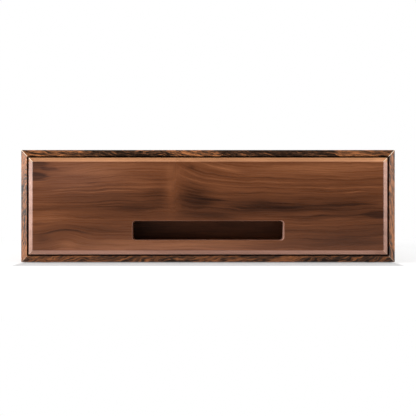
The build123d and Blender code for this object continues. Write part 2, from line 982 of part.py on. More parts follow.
def drawer():
    """Every piece that slides with the drawer, and what moves on it."""
    parts = drawer_front_layers()
    holes = at_front_screws(screw_hole(front_screw_diameter, front_screw_length))
    screws = at_front_screws(screw(front_screw_diameter, front_screw_length))
    floor = drawer_floor()
    partition = bay_partition()
    magnets = magnet_rods(box_rear - magnet_length)
    button, button_hole = stop_button()
    housed_half = box_inner_half + housing_depth
    back_board = block(-housed_half, housed_half, back_board_front, back_board_rear, floor_top, box_top)
    parts["drawer_inner_front"] = drawer_inner_front() - floor - partition - holes
    parts["drawer_side_left"] = drawer_side(-1) - floor - magnets[0]
    parts["drawer_side_right"] = drawer_side(1) - floor - magnets[1]
    parts["drawer_back"] = back_board - partition - button_hole
    parts["drawer_floor"] = floor
    parts["front_screws"] = Compound(screws)
    parts["drawer_magnets"] = Compound(magnets)
    parts["bay_partition"] = partition
    parts["bay_cleat"] = block(
        -box_inner_half,
        cleat - box_inner_half,
        box_inner_front,
        back_board_front,
        shelf_bottom - cleat,
        shelf_bottom,
    )
    parts["bay_shelf"] = bay_shelf()
    rail = (partition_right, box_inner_half)
    parts["divider_rail_front"] = block(*rail, box_inner_front, rail_inner_front, rail_bottom, rail_top)
    parts["divider_rail_back"] = block(*rail, rail_inner_back, back_board_front, rail_bottom, rail_top)
    parts["divider_left"] = divider(divider_rest[0])
    parts["divider_right"] = divider(divider_rest[1])
    return {**parts, **button, **hygrometer(), **humidifier()}


def main():
    """Writes one STEP file for each piece or group of like pieces."""
    os.makedirs("parts", exist_ok=True)
    for name, shape in {**casing(), **drawer()}.items():
        solids = shape.solids()
        piece = solids[0] if len(solids) == 1 else Compound(children=solids)
        export_step(piece, f"parts/{name}.step")


main()
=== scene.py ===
"""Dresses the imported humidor: figured and walnut wood, cedar, brass, steel, dial and stage, in metres."""

import json
import math

import bmesh
import bpy
from mathutils import Matrix, Vector


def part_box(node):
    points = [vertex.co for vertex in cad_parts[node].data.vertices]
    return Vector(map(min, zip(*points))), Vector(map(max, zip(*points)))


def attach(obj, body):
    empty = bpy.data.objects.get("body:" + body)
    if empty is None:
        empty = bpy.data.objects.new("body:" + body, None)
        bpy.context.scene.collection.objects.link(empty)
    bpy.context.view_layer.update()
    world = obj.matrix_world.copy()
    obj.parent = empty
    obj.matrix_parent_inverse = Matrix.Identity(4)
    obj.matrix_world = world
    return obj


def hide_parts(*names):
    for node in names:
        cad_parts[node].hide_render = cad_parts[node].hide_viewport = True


bl_info = {
    "name": "Cigar Humidor",
    "version": (1, 0, 0),
    "blender": (4, 5, 0),
    "location": "View3D > Sidebar > Humidor",
    "description": "Dresses a drawer humidor with wood, brass and rubber, and sets it on a stage",
    "category": "Object",
}

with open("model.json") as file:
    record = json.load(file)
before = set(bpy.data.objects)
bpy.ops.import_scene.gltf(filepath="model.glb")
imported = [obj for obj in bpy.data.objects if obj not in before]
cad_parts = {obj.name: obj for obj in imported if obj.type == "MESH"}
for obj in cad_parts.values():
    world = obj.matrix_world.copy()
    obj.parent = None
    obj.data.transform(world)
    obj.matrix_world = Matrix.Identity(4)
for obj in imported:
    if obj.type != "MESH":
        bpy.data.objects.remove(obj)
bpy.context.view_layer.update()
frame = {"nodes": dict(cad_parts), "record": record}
RECORD = frame["record"]
BODY_OF = {node: body for body, nodes in RECORD["behaviour"]["bodies"].items() for node in nodes}
SLOT_OF = {part["node"]: part["material_slot"] for part in RECORD["subparts"]}
MM = 0.001
QUARTER = math.pi / 2
# Corners that are sharper than this, in degrees, stay sharp: on a piece, and on a screw
PIECE_CORNER, SCREW_CORNER = 38.0, 30.0
# Edges that are sharper than this are eased, and faces that differ by less are joined, both in degrees
SHARP_ANGLE, FLAT_ANGLE = 40.0, 0.4
# Corners nearer than this, in metres, are one
MERGE_GAP = 1e-6
# A screw's slot as shares of the shank's diameter: its length, width and height
SCREW_SLOT = (2.4, 0.23, 0.5)


def tint(red, green, blue):
    """A colour from 0-255 screen values, as the linear values that Blender stores."""

    def linear(value):
        value /= 255.0
        return value / 12.92 if value <= 0.04045 else ((value + 0.055) / 1.055) ** 2.4

    return (linear(red), linear(green), linear(blue))


def colour_property(name, description, red, green, blue):
    """A colour that shows in the panel, from 0-255 screen values."""
    return bpy.props.FloatVectorProperty(
        name=name,
        description=description,
        subtype="COLOR",
        size=3,
        min=0.0,
        max=1.0,
        default=tint(red, green, blue),
    )


def length_property(name, description, millimetres):
    """A length that shows in the panel."""
    return bpy.props.FloatProperty(
        name=name, description=description, default=millimetres * MM, min=0.0, unit="LENGTH"
    )


class HumidorSizes(bpy.types.PropertyGroup):
    """Sizes of what is added to the frame."""

    board_easing: length_property("Board easing", "How far sharp cedar edges are eased", 0.5)
    trim_easing: length_property("Trim easing", "How far metal and plastic edges are eased", 0.3)
    seal_easing: length_property("Seal easing", "How far the soft seal's lips are rounded", 0.9)
    foam_easing: length_property("Foam easing", "How far the foam's edges are rounded", 0.8)
    glass_easing: length_property("Glass easing", "How far the glass's rim is eased", 0.2)
    needle_easing: length_property("Needle easing", "How far the needle's edges are eased", 0.08)
    tick_count: bpy.props.IntProperty(
        name="Dial ticks", description="Marks round the dial's scale", default=51, min=2
    )
    tick_length: length_property("Tick length", "Length of a short mark on the dial", 1.3)
    tick_width: length_property("Tick width", "Width of a mark on the dial", 0.22)
    numeral_size: length_property("Numeral size", "Type size of the numbers on the dial", 3.51)
    screw_seed: bpy.props.IntProperty(
        name="Screw seed", description="Fixes how far each screw is turned", default=4
    )


class HumidorColours(bpy.types.PropertyGroup):
    """Colours of the finishes."""

    walnut_dark: colour_property("Walnut, dark", "Darkest walnut figure", 58, 30, 15)
    walnut_middle: colour_property("Walnut, middle", "Main walnut colour", 110, 63, 36)
    walnut_light: colour_property("Walnut, light", "Palest walnut figure", 162, 103, 66)
    # The front's bevels are painted paler: painted sheen of the lamps, rosy on the sides and bottom, warmer
    # on top
    walnut_cut: colour_property("Walnut, cut", "Paler wood on the front's bevels", 203, 155, 136)
    walnut_cut_top: colour_property("Walnut, top cut", "Warmer wood on the top bevel", 210, 150, 106)
    # Pale rosy tint mixed into the walnut as painted sheen
    rosy: colour_property("Walnut, rosy", "Tint of its rosier places", 170, 144, 142)
    # Pale cream along the mitre ridges: a painted highlight where the ridges catch the lamps
    wear: colour_property("Worn ridges", "Bare wood along the mitre ridges", 250, 228, 202)
    figured_ink: colour_property("Figured wood, ink", "Near-black streaks in the casing", 41, 23, 11)
    figured_olive: colour_property("Figured wood, olive", "Dark parts between the streaks", 68, 49, 36)
    figured_brown: colour_property("Figured wood, brown", "Its middle colour", 104, 64, 39)
    figured_orange: colour_property("Figured wood, orange", "Its brightest parts", 150, 94, 56)
    cedar_light: colour_property("Cedar, light", "Pale cedar between the rings", 196, 143, 104)
    cedar_dark: colour_property("Cedar, dark", "Dark cedar rings and pores", 150, 92, 62)
    hardwood: colour_property("Hardwood", "Runners, tongues and strip", 205, 168, 122)
    brass: colour_property("Brass", "Gauge, screws and button", 176, 137, 78)
    dial: colour_property("Dial", "Ground of the gauge's dial", 240, 235, 220)
    ink: colour_property("Ink", "Marks, numbers and needle", 26, 24, 24)
    comfort: colour_property("Comfort band", "Arc of the right humidity on the dial", 74, 124, 82)
    rubber: colour_property("Rubber", "Seal and foot pads", 34, 32, 31)
    plastic: colour_property("Plastic", "Humidifier's tray and grille", 24, 24, 25)
    foam: colour_property("Foam", "Humidifier's open foam", 62, 92, 66)
    floor: colour_property("Floor", "Pale studio floor", 242, 242, 242)


def sizes():
    """The sizes set in the panel."""
    return bpy.context.scene.humidor_sizes


def colours():
    """The colours set in the panel."""
    return bpy.context.scene.humidor_colours


class Socket:
    """A node's output that reads as a number in plain sums."""

    def __init__(self, graph, socket):
        self.graph, self.socket = graph, socket

    def out(self, name):
        """Another output of the same node."""
        return Socket(self.graph, self.socket.node.outputs[name])

    def math(self, operation, *others):
        return self.graph.math(operation, self, *others)

    def __add__(self, other):
        return self.math("ADD", other)

    __radd__ = __add__

    def __sub__(self, other):
        return self.math("SUBTRACT", other)

    def __rsub__(self, other):
        return self.graph.math("SUBTRACT", other, self)

    def __mul__(self, other):
        return self.math("MULTIPLY", other)

    __rmul__ = __mul__

    def __truediv__(self, other):
        return self.math("DIVIDE", other)

    def __pow__(self, other):
        return self.math("POWER", other)


class Graph:
    """A node tree while it is written, for a material or for Geometry Nodes."""

    def __init__(self, tree):
        self.tree = tree
        tree.nodes.clear()

    def node(self, kind, settings=None, sockets=()):
        """Adds a node: its settings first, then the values or links of its sockets."""
        made = self.tree.nodes.new(kind)
        for name, value in (settings or {}).items():
            if name == "stops":
                self.fill_ramp(made.color_ramp, value)
            else:
                setattr(made, name, value)
        live = [socket for socket in made.inputs if socket.enabled]
        if isinstance(sockets, dict):
            named = {socket.name: socket for socket in reversed(live)}
            pairs = [(named[name], value) for name, value in sockets.items()]
        else:
            pairs = zip(live, sockets)
        for socket, value in pairs:
            if isinstance(value, Socket):
                self.tree.links.new(value.socket, socket)
            elif socket.type == "RGBA" and len(value) == 3:
                socket.default_value = (*value, 1.0)
            else:
                socket.default_value = value
        return Socket(self, next((socket for socket in made.outputs if socket.enabled), None))

    def fill_ramp(self, ramp, stops):
        """Sets a ramp's stops from (place, grey or colour) pairs."""
        while len(ramp.elements) < len(stops):
            ramp.elements.new(1.0)
        for element, (place, value) in zip(ramp.elements, stops):
            element.position = place
        for element, (place, value) in zip(ramp.elements, stops):
            level = (value,) * 3 if isinstance(value, (int, float)) else tuple(value)
            element.color = (*level, 1.0)

    def math(self, operation, *values):
        return self.node("ShaderNodeMath", {"operation": operation}, values)

    def vector(self, operation, *values):
        return self.node("ShaderNodeVectorMath", {"operation": operation}, values)

    def join(self, x, y, z):
        return self.node("ShaderNodeCombineXYZ", {}, (x, y, z))

    def mix(self, factor, first, second, blend="MIX"):
        """A mix of two colours."""
        settings = {"data_type": "RGBA", "blend_type": blend, "clamp_factor": True}
        sockets = {"Factor": factor, "A": first, "B": second}
        return self.node("ShaderNodeMix", settings, sockets)

    def ramp(self, value, stops, interpolation="LINEAR"):
        """A colour, or a grey, looked up along a row of stops."""
        ramp = self.node("ShaderNodeValToRGB", {"stops": stops}, (value,))
        ramp.socket.node.color_ramp.interpolation = interpolation
        return ramp

    def step(self, value, low, high):
        """0 below low, 1 above high, with a soft rise between."""
        sockets = {"Value": value, "From Min": low, "From Max": high, "To Min": 0.0, "To Max": 1.0}
        return self.node("ShaderNodeMapRange", {"interpolation_type": "SMOOTHSTEP"}, sockets)

    def fall(self, value, low, high):
        """1 below low, 0 above high."""
        return 1.0 - self.step(value, low, high)

    def noise(self, place, detail=2.0, roughness=0.5):
        """A soft noise from 0 to 1 on a vector."""
        sockets = {"Vector": place, "Scale": 1.0, "Detail": detail, "Roughness": roughness}
        return self.node("ShaderNodeTexNoise", {}, sockets)

    def line_noise(self, value, detail=2.0, roughness=0.5):
        """A noise from 0 to 1 along one number."""
        sockets = {"W": value, "Scale": 1.0, "Detail": detail, "Roughness": roughness}
        return self.node("ShaderNodeTexNoise", {"noise_dimensions": "1D"}, sockets)


# A painted highlight along a mitre ridge, in millimetres: where it starts to fade on either side and where
# it is gone, how far it runs in from the side, and how strong the lower ridges are beside the upper ones
RIDGE_FADE = (0.25, 0.75)
RIDGE_END = (9.5, 10.0)
LOWER_RIDGE = 0.35


class Finish(Graph):
    """A material while it is written. Its patterns are laid out in millimetres."""

    def __init__(self, name):
        self.material = bpy.data.materials.new("humidor_" + name)
        self.material.use_nodes = True
        super().__init__(self.material.node_tree)

    def place(self):
        """Where a point is on the humidor at rest, in millimetres."""
        coordinates = self.node("ShaderNodeTexCoord").out("Object")
        return self.vector("MULTIPLY", coordinates, (1000.0, 1000.0, 1000.0))

    def stretched(self, place, factors, detail=2.0, roughness=0.5):
        """A soft noise from 0 to 1 whose grain is short where a factor is large."""
        return self.noise(self.vector("MULTIPLY", place, factors), detail, roughness)

    def parts(self, place):
        """The three numbers of a place."""
        split = self.node("ShaderNodeSeparateXYZ", {}, (place,))
        return split.out("X"), split.out("Y"), split.out("Z")

    def hill(self, x, z, spot):
        """A soft oval hill at (x, z, half length, half height, rise)."""
        across, up = (x - spot[0]) / spot[2], (z - spot[1]) / spot[3]
        return (0.0 - (across * across + up * up)).math("EXPONENT") * spot[4]

    def outline(self, x, z, shape):
        """How far a point is outside a shape: middle x and z, half length, half height, corner radius."""
        across = ((x - shape[0]).math("ABSOLUTE") - (shape[2] - shape[4])).math("MAXIMUM", 0.0)
        up = ((z - shape[1]).math("ABSOLUTE") - (shape[3] - shape[4])).math("MAXIMUM", 0.0)
        return (across * across + up * up) ** 0.5 - shape[4]

    def mitre(self, x, z, box):
        """1 along the mitre lines of a frame as large as a box, strong above and faint below: the mask of a
        painted highlight.
        """
        side = (box[1].x - box[0].x) / 2 / MM - x.math("ABSOLUTE")
        above, below = box[1].z / MM - z, z - box[0].z / MM
        upper = self.fall((side - above).math("ABSOLUTE"), *RIDGE_FADE)
        lower = self.fall((side - below).math("ABSOLUTE"), *RIDGE_FADE)
        return upper.math("MAXIMUM", lower * LOWER_RIDGE) * self.fall(side, *RIDGE_END)

    def bump(self, height, distance, strength=1.0):
        """A surface normal from a height of 0 to 1, over a distance in millimetres."""
        sockets = {"Strength": strength, "Distance": distance * MM, "Height": height}
        return self.node("ShaderNodeBump", {}, sockets)

    def surface(self, **values):
        """Ends the material in one principled surface and returns it."""
        sockets = {name.replace("_", " "): value for name, value in values.items()}
        shader = self.node("ShaderNodeBsdfPrincipled", {}, sockets)
        self.node("ShaderNodeOutputMaterial", {}, (shader,))
        return self.material


# Partly the walnut's own tone and partly painted light: lighter along the top as if lit from above, lighter
# at the lower left with painted sheen, and darker at the right, away from the left lamp
# Soft light and dark places in the walnut front: (x, z, half length, half height, rise), in millimetres
WALNUT_TONE_AND_LIGHT = (
    (-150.0, 106.0, 50.0, 14.0, 0.10),
    (-90.0, 112.0, 70.0, 12.0, 0.05),
    (108.0, 114.0, 120.0, 14.0, 0.14),
    (-43.0, 82.0, 8.0, 26.0, 0.16),
    (-16.0, 76.0, 18.0, 17.0, -0.20),
    (-104.0, 70.0, 54.0, 13.0, -0.12),
    (70.0, 66.0, 84.0, 11.0, -0.24),
    (150.0, 70.0, 60.0, 12.0, -0.14),
    (-188.0, 55.0, 36.0, 8.0, 0.16),
    (12.0, 56.0, 26.0, 6.0, -0.12),
    (40.0, 104.0, 60.0, 14.0, 0.06),
    (-54.0, 76.0, 22.0, 16.0, -0.12),
    (-185.0, 106.0, 36.0, 8.0, -0.05),
    (80.0, 114.0, 40.0, 7.0, -0.07),
    (205.0, 42.0, 50.0, 20.0, -0.08),
    (-92.0, 19.0, 110.0, 8.5, 0.20),
    (-20.0, 20.0, 80.0, 7.0, 0.14),
    (-161.0, 25.0, 15.0, 7.0, 0.12),
    (172.0, 25.0, 54.0, 10.0, -0.10),
    (-194.0, 29.0, 10.0, 5.0, -0.14),
    (-19.0, 112.0, 4.0, 3.0, -0.14),
    (-202.0, 96.0, 12.0, 4.0, 0.08),
    (-78.0, 95.0, 20.0, 4.0, 0.08),
    (-150.0, 103.0, 20.0, 4.0, -0.09),
    (-3.0, 71.0, 11.0, 4.0, -0.09),
    (-86.0, 62.0, 20.0, 4.5, -0.10),
    (120.0, 70.0, 34.0, 5.0, 0.08),
    (24.0, 112.0, 16.0, 5.0, 0.06),
)
# Where a pale rosy painted sheen lies on the walnut: the same five numbers, the last one a share
WALNUT_PAINTED_SHEEN = ((-160.0, 104.0, 64.0, 26.0, 0.06), (-40.0, 14.0, 120.0, 12.0, 0.05))
# Dark heartwood patches with ragged ends: the same five numbers
WALNUT_PATCHES = (
    (-203.0, 116.0, 17.0, 6.5, -0.18),
    (-205.0, 101.5, 20.0, 5.5, -0.28),
    (-186.0, 110.5, 12.0, 2.4, -0.16),
    (202.0, 57.0, 22.0, 5.0, -0.16),
)
# Thin streaks that follow the grain: the same five numbers, with z taken along the bent grain
WALNUT_STREAKS = (
    (-135.0, 95.5, 10.0, 0.9, -0.16),
    (-115.0, 86.5, 60.0, 0.8, -0.10),
    (-166.0, 32.5, 34.0, 2.2, -0.20),
    (160.0, 69.0, 50.0, 1.8, -0.12),
    (90.0, 67.0, 22.0, 1.6, -0.16),
    (52.0, 65.5, 26.0, 0.9, -0.10),
    (155.0, 57.5, 50.0, 1.3, -0.10),
    (4.0, 71.5, 19.0, 1.5, -0.16),
    (-41.0, 62.0, 4.0, 1.3, -0.20),
    (46.0, 99.0, 66.0, 0.8, -0.15),
    (60.0, 88.0, 66.0, 0.8, -0.14),
    (52.0, 81.0, 66.0, 0.7, -0.10),
    (-138.0, 84.5, 60.0, 1.0, 0.10),
    (-133.0, 67.0, 55.0, 0.9, 0.08),
    (170.0, 83.5, 16.0, 1.0, 0.12),
    (150.0, 53.5, 26.0, 1.5, 0.12),
    (52.0, 54.5, 32.0, 1.2, 0.08),
)
# Where the fan of lines starts beside the pale upright fleck, how soon it closes, and its lift
FAN_EDGE = -38.0
FAN_FOOT = 56.0
FAN_LENGTH = 42.0
FAN_SLOPE = 0.34
# How far the fleck reaches to either side, and where it starts above the slot
FLECK_REACH = 11.0
FLECK_FOOT = (52.0, 66.0)
# The arch at the lower left that lifts the lines: middle x and z, half length, half height, rise
ARCH = (-168.0, 32.0, 21.0, 17.0, 8.5)
# Left of this x the upper lines run down towards the side, by this share of the way
LEAN_EDGE = -110.0
LEAN_SHARE = 0.06
# The finger slot: its middle x and z, half length, half height and corner radius, in millimetres
SLOT = (0.0, 38.4, 88.5, 11.1, 3.2)
# The slot's pale rim is a painted highlight, strongest at its right end wall where the left lamp falls
# The slot's pale rim starts inside its edge and ends outside it, and is plain at the slot's right end
RIM_START, RIM_END, RIM_RIGHT = (-1.2, -0.5), (0.35, 0.8), (82.0, 87.0)
# The front's bevel, where its painted sheen lies, as how far behind the front's face it starts and ends
BEVEL_START, BEVEL_END = (0.15, 0.5), (3.6, 4.4)
# The height at which the top bevel's warmer painted sheen takes over
TOP_BEVEL = (116.0, 121.0)
# The right bevel's painted sheen grows paler upwards: where it is, its middle height, and the change a
# millimetre
RIGHT_BEVEL, BEVEL_MIDDLE, BEVEL_CHANGE = (190.0, 200.0), 72.0, 0.003


class WalnutGrain(Finish):
    """The front's walnut while it is written: where its grain runs, and how pale it is."""

    def __init__(self, name):
        super().__init__(name)
        self.at = self.place()
        self.x, self.y, self.z = self.parts(self.at)
        self.depth = self.y * 0.35
        self.ripple = self.stretched(self.at, (0.024, 0.08, 0.06), 2.0, 0.55)
        self.grain = self.bent_grain()
        self.broad = self.noise(self.along(120.0, 9.0), 3.0, 0.55)
        self.fine = self.noise(self.along(80.0, 2.2, 7.0), 3.0, 0.55)
        self.hair = self.noise(self.along(36.0, 0.8, 3.0), 3.0, 0.6)
        self.rings = self.line_noise(self.grain * 0.32 + self.depth * 0.3, 3.0, 0.7)

    def bent_grain(self):
        """Height across the grain in millimetres, bent by the arch, the fan and slow waves."""
        drift = self.stretched(self.at, (0.006, 0.02, 0.016), 1.0)
        arch = self.hill(self.x, self.z, ARCH)
        lean = (self.x - LEAN_EDGE).math("MINIMUM", 0.0) * self.step(self.z, 60.0, 110.0) * LEAN_SHARE
        right = (self.x - FAN_EDGE).math("MAXIMUM", 0.0)
        fan = (self.z - FAN_FOOT).math("MAXIMUM", 0.0) * (0.0 - right / FAN_LENGTH).math("EXPONENT")
        fan = fan * FAN_SLOPE * self.step(self.x, FAN_EDGE - 1.0, FAN_EDGE + 1.0)
        return self.z - arch - fan - lean + (drift - 0.5) * 8.0 + (self.ripple - 0.5) * 6.0

    def along(self, length, height, shift=0.0):
        """The place stretched along the bent grain."""
        return self.join(self.x / length + shift, self.depth / height, self.grain / height)

    def calm(self):
        """1 in the pale upright fleck, where the lines fade."""
        across = (self.x - FAN_EDGE + (self.ripple - 0.5) * 10.0) / FLECK_REACH
        return (0.0 - across * across).math("EXPONENT") * self.step(self.z, *FLECK_FOOT)

    def tone(self):
        """How pale the wood is, from 0 to 1."""
        x, z, calm = self.x, self.z, self.calm()
        fade = self.noise(self.along(90.0, 7.0, 5.0), 2.0, 0.5)
        fleck = self.noise(self.join(x / 5.0, self.depth / 5.0, z / 14.0), 3.0, 0.6)
        lines = (self.rings - 0.5) * self.step(fade, 0.3, 0.7) * 0.55
        lines = lines + (self.fine - 0.5) * 0.27 + (self.hair - 0.5) * 0.10
        tone = 0.45 + (self.broad - 0.5) * (0.36 - calm * 0.2) + lines * (1.0 - calm * 0.92)
        tone = tone + (fleck - 0.5) * calm * 0.22
        ragged = (self.fine - 0.5) * 1.2 + (self.rings - 0.5) * 0.5
        for spot in WALNUT_PATCHES:
            tone = tone + self.step(self.hill(x, z, (*spot[:4], 1.0)) + ragged, 0.30, 0.62) * spot[4]
        waved = z + (self.ripple - 0.5) * 7.0
        # Soft places, partly painted light: lighter at the top and lower left, darker at the right
        for spot in WALNUT_TONE_AND_LIGHT:
            tone = tone + self.hill(x, waved, spot)
        ragged = (self.hair - 0.5) + (self.fine - 0.5) * 0.5
        lively = 1.0 - calm
        for spot in WALNUT_STREAKS:
            streak = self.step(self.hill(x, self.grain, (*spot[:4], 1.0)) + ragged, 0.2, 0.8)
            tone = tone + streak * lively * spot[4]
        return tone


def walnut():
    """Satin walnut, its grain along X, with the front's fleck, the fan of lines beside it and the arch."""
    wood, look = WalnutGrain("walnut"), colours()
    x, y, z = wood.x, wood.y, wood.z
    stops = (
        (0.0, tuple(0.55 * value for value in look.walnut_dark)),
        (0.2, look.walnut_dark),
        (0.5, look.walnut_middle),
        (0.8, look.walnut_light),
        (1.0, tuple(1.25 * value for value in look.walnut_light)),
    )
    colour = wood.ramp(wood.tone(), stops)
    # Painted sheen: a pale rosy tint at the upper left and along the bottom
    for spot in WALNUT_PAINTED_SHEEN:
        colour = wood.mix(wood.hill(x, z, spot), colour, look.rosy)
    pores = wood.step(wood.noise(wood.along(9.0, 0.42, 11.0), 2.0, 0.5), 0.62, 0.72)
    colour = wood.mix(pores * 0.22, colour, look.walnut_dark)
    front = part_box("drawer_front")
    behind = y - front[0].y / MM
    bevel = wood.step(behind, *BEVEL_START) * wood.fall(behind, *BEVEL_END)
    outside = wood.outline(x, z, SLOT)
    # Painted highlight along the slot's rim, strongest at its right end
    rim = wood.step(outside, *RIM_START) * wood.fall(outside, *RIM_END)
    rim = rim * (0.05 + wood.step(x, *RIM_RIGHT) * 0.75)
    # Painted sheen: the bevels take a paler colour, warmer on the top bevel and paler upwards on the right
    pale = wood.mix(wood.step(z, *TOP_BEVEL), look.walnut_cut, look.walnut_cut_top)
    fading = (z - BEVEL_MIDDLE) * wood.step(x, *RIGHT_BEVEL) * BEVEL_CHANGE
    share = bevel * (0.68 + (wood.broad - 0.5) * 0.7 + fading)
    colour = wood.mix(share.math("MAXIMUM", rim), colour, pale)
    # Painted highlight along the mitre ridges of the front's bevel
    colour = wood.mix(bevel * wood.mitre(x, z, front) * 0.8, colour, look.wear)
    return wood.surface(
        Base_Color=colour,
        Roughness=0.28 + (wood.fine - 0.5) * 0.10 + pores * 0.1,
        Specular_IOR_Level=0.26,
        Normal=wood.bump(wood.hair * 0.5 - pores * 0.5, 0.05, 0.5),
    )


def shaded_walnut():
    """Oiled walnut inside the finger pocket, darkened with painted shade where no lamp reaches, and lighter
    towards the right with painted light.
    """
    wood, look = Finish("shaded_walnut"), colours()
    place = wood.place()
    x = wood.parts(place)[0]
    streak = wood.stretched(place, (0.02, 0.4, 0.4), 3.0, 0.6)
    fibre = wood.stretched(place, (0.09, 1.6, 1.6), 2.0, 0.6)
    dark = tuple(0.6 * value for value in look.walnut_dark)
    brown = tuple(2.6 * value for value in look.walnut_dark)
    # Painted light: lighter from the pocket's left end towards its right, where the left lamp reaches in
    painted_light = wood.step(x, -95.0, -25.0) * 0.6
    colour = wood.mix(painted_light + 0.15 + (streak - 0.5) * 1.2 + (fibre - 0.5) * 0.5, dark, brown)
    return wood.surface(
        Base_Color=colour,
        Roughness=0.5 + (fibre - 0.5) * 0.2,
        Specular_IOR_Level=0.12,
        Normal=wood.bump(fibre, 0.05, 0.5),
    )


# How dark each casing board is along its length: (place in millimetres, darkness from 0 to 1)
FIGURE = {
    "top": (
        (-217, 0.34), (-190, 0.4), (-140, 0.5), (-116, 0.98), (-72, 0.86), (-50, 0.74), (-40, 0.56),
        (-30, 0.3), (-24, 0.66), (-14, 0.22), (-2, 0.4), (8, 0.28), (22, 0.66), (46, 0.82),
        (146, 0.84), (156, 0.3), (176, 0.34), (214, 0.46),
    ),
    "bottom": (
        (-217, 0.22), (-190, 0.34), (-150, 0.34), (-110, 0.48), (-84, 0.46), (-62, 0.34), (-44, 0.58),
        (-20, 0.54), (-8, 0.3), (44, 0.34), (56, 0.5), (76, 0.52), (90, 0.3), (110, 0.24), (122, 0.5),
        (150, 0.62), (214, 0.6),
    ),
    # The left board's light levels are partly its figure and partly painted light, where the left lamp
    # falls
    "left": ((1, 0.0), (26, 0.1), (48, 0.46), (100, 0.48), (110, 0.14), (133, 0.1)),
    "right": ((1, 0.66), (18, 0.56), (28, 0.12), (100, 0.1), (118, 0.3), (133, 0.36)),
    "back": ((-217, 0.5), (-90, 0.4), (-60, 0.7), (20, 0.5), (60, 0.36), (150, 0.7), (214, 0.5)),
}


# Where the boards start and end, in millimetres along their length
UPRIGHT_SPAN = (0.0, 134.0)
LEVEL_SPAN = (-220.0, 220.0)
# Which way each board's face looks along its thickness, and how fast the grain moves on there
OUT_OF_FACE = {"top": 1.0, "bottom": -1.0, "left": -1.0, "right": 1.0, "back": 1.4}
# How far behind the front edge its figure and finest streaks reach, and where the painted ridge highlight
# ends
FIGURE_REACH = (6.0, 50.0)
FINEST_REACH = (5.0, 17.0)
RIDGE_DEPTH = (4.6, 5.0)
# The right board is darker along its inner rim and its outer one: painted shade
RIGHT_INNER_SHADE, RIGHT_OUTER_SHADE = (213.2, 214.8), (217.0, 218.0)


class FiguredGrain(Finish):
    """One casing board while it is written: its dark streaks flow round its edges."""

    def __init__(self, board):
        super().__init__("figured_" + board)
        self.board = board
        self.upright = board in ("left", "right")
        self.x, self.y, self.z = self.parts(self.place())
        self.length = self.z if self.upright else self.x
        self.outward = (self.x if self.upright else self.z) * OUT_OF_FACE[board]
        self.behind = self.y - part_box("casing_top")[0].y / MM
        self.shift = 4.0 * list(FIGURE).index(board)
        sway = self.wave(130.0, 70.0)
        self.curl = self.wave(19.0, 11.0)
        flow = self.behind + self.outward * 0.7 + self.length / 4.5
        self.flow = flow + (sway - 0.5) * 46.0 + (self.curl - 0.5) * 10.0
        self.hair = self.stripes(7.0, 0.7, 30.0, 0.6)

    def wave(self, long, wide):
        """A soft noise in space, stretched along the board."""
        place = self.join(self.length / long + self.shift, self.behind / wide, self.outward / wide)
        return self.noise(place, 2.0, 0.5)

    def stripes(self, long, wide, layer, roughness):
        """A noise stretched along the flowing grain."""
        place = self.join(self.length / long + self.shift, self.flow / wide, layer)
        return self.noise(place, 3.0, roughness)

    def darkness(self, streak):
        """How dark the figure is: the photographed levels at the front edge, and soft bands behind it."""
        low, high = UPRIGHT_SPAN if self.upright else LEVEL_SPAN
        run = self.length + self.behind * 2.6 + (self.curl - 0.5) * 22.0 + (streak - 0.5) * 44.0
        stops = [((place - low) / (high - low), level) for place, level in FIGURE[self.board]]
        region = self.ramp(((run - low) / (high - low)).math("PINGPONG", 1.0), stops)
        wide = 0.44 + (self.stripes(170.0, 15.0, 4.0, 0.6) - 0.5) * 2.2
        return wide + (region - wide) * self.fall(self.behind, *FIGURE_REACH)

    def tone(self):
        """How pale the wood is, from 0 to 1."""
        streak = self.stripes(55.0, 3.0, 0.0, 0.62)
        splinter = self.stripes(13.0, 1.5, 9.0, 0.62)
        line = self.line_noise(self.flow * 0.3 + self.shift, 3.0, 0.75)
        close = self.fall(self.behind, *FINEST_REACH)
        tone = 0.92 - self.darkness(streak) * 0.85 + (streak - 0.5) * (1.3 + close * 0.7)
        tone = tone + (splinter - 0.5) * (0.7 + close * 1.1)
        # Painted shade along the right board's inner and outer rims
        if self.board == "right":
            tone = tone - self.fall(self.x, *RIGHT_INNER_SHADE) * 0.2 - self.step(self.x, *RIGHT_OUTER_SHADE) * 0.14
        fineness = 3.0 if self.upright else 1.9
        return tone + (line - 0.5) * 0.8 + (self.hair - 0.5) * (0.4 + close * fineness)


def figured_wood(board):
    """Brown and orange wood with slanting ink-dark streaks and curls, its grain along one board."""
    wood, look = FiguredGrain(board), colours()
    stops = (
        (0.0, tuple(0.6 * value for value in look.figured_ink)),
        (0.22, look.figured_ink),
        (0.42, look.figured_olive),
        (0.58, look.figured_brown),
        (0.8, look.figured_orange),
        (1.0, tuple(1.4 * value for value in look.figured_orange)),
    )
    colour = wood.ramp(wood.tone(), stops)
    whole = (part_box("casing_bottom")[0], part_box("casing_top")[1])
    # Painted highlight along the casing's mitre ridges
    ridges = wood.fall(wood.behind, *RIDGE_DEPTH) * wood.mitre(wood.x, wood.z, whole)
    return wood.surface(
        Base_Color=wood.mix(ridges * 0.85, colour, look.wear),
        Roughness=0.30 + (wood.hair - 0.5) * 0.12,
        Specular_IOR_Level=0.25,
        Normal=wood.bump(wood.hair, 0.04, 0.5),
    )


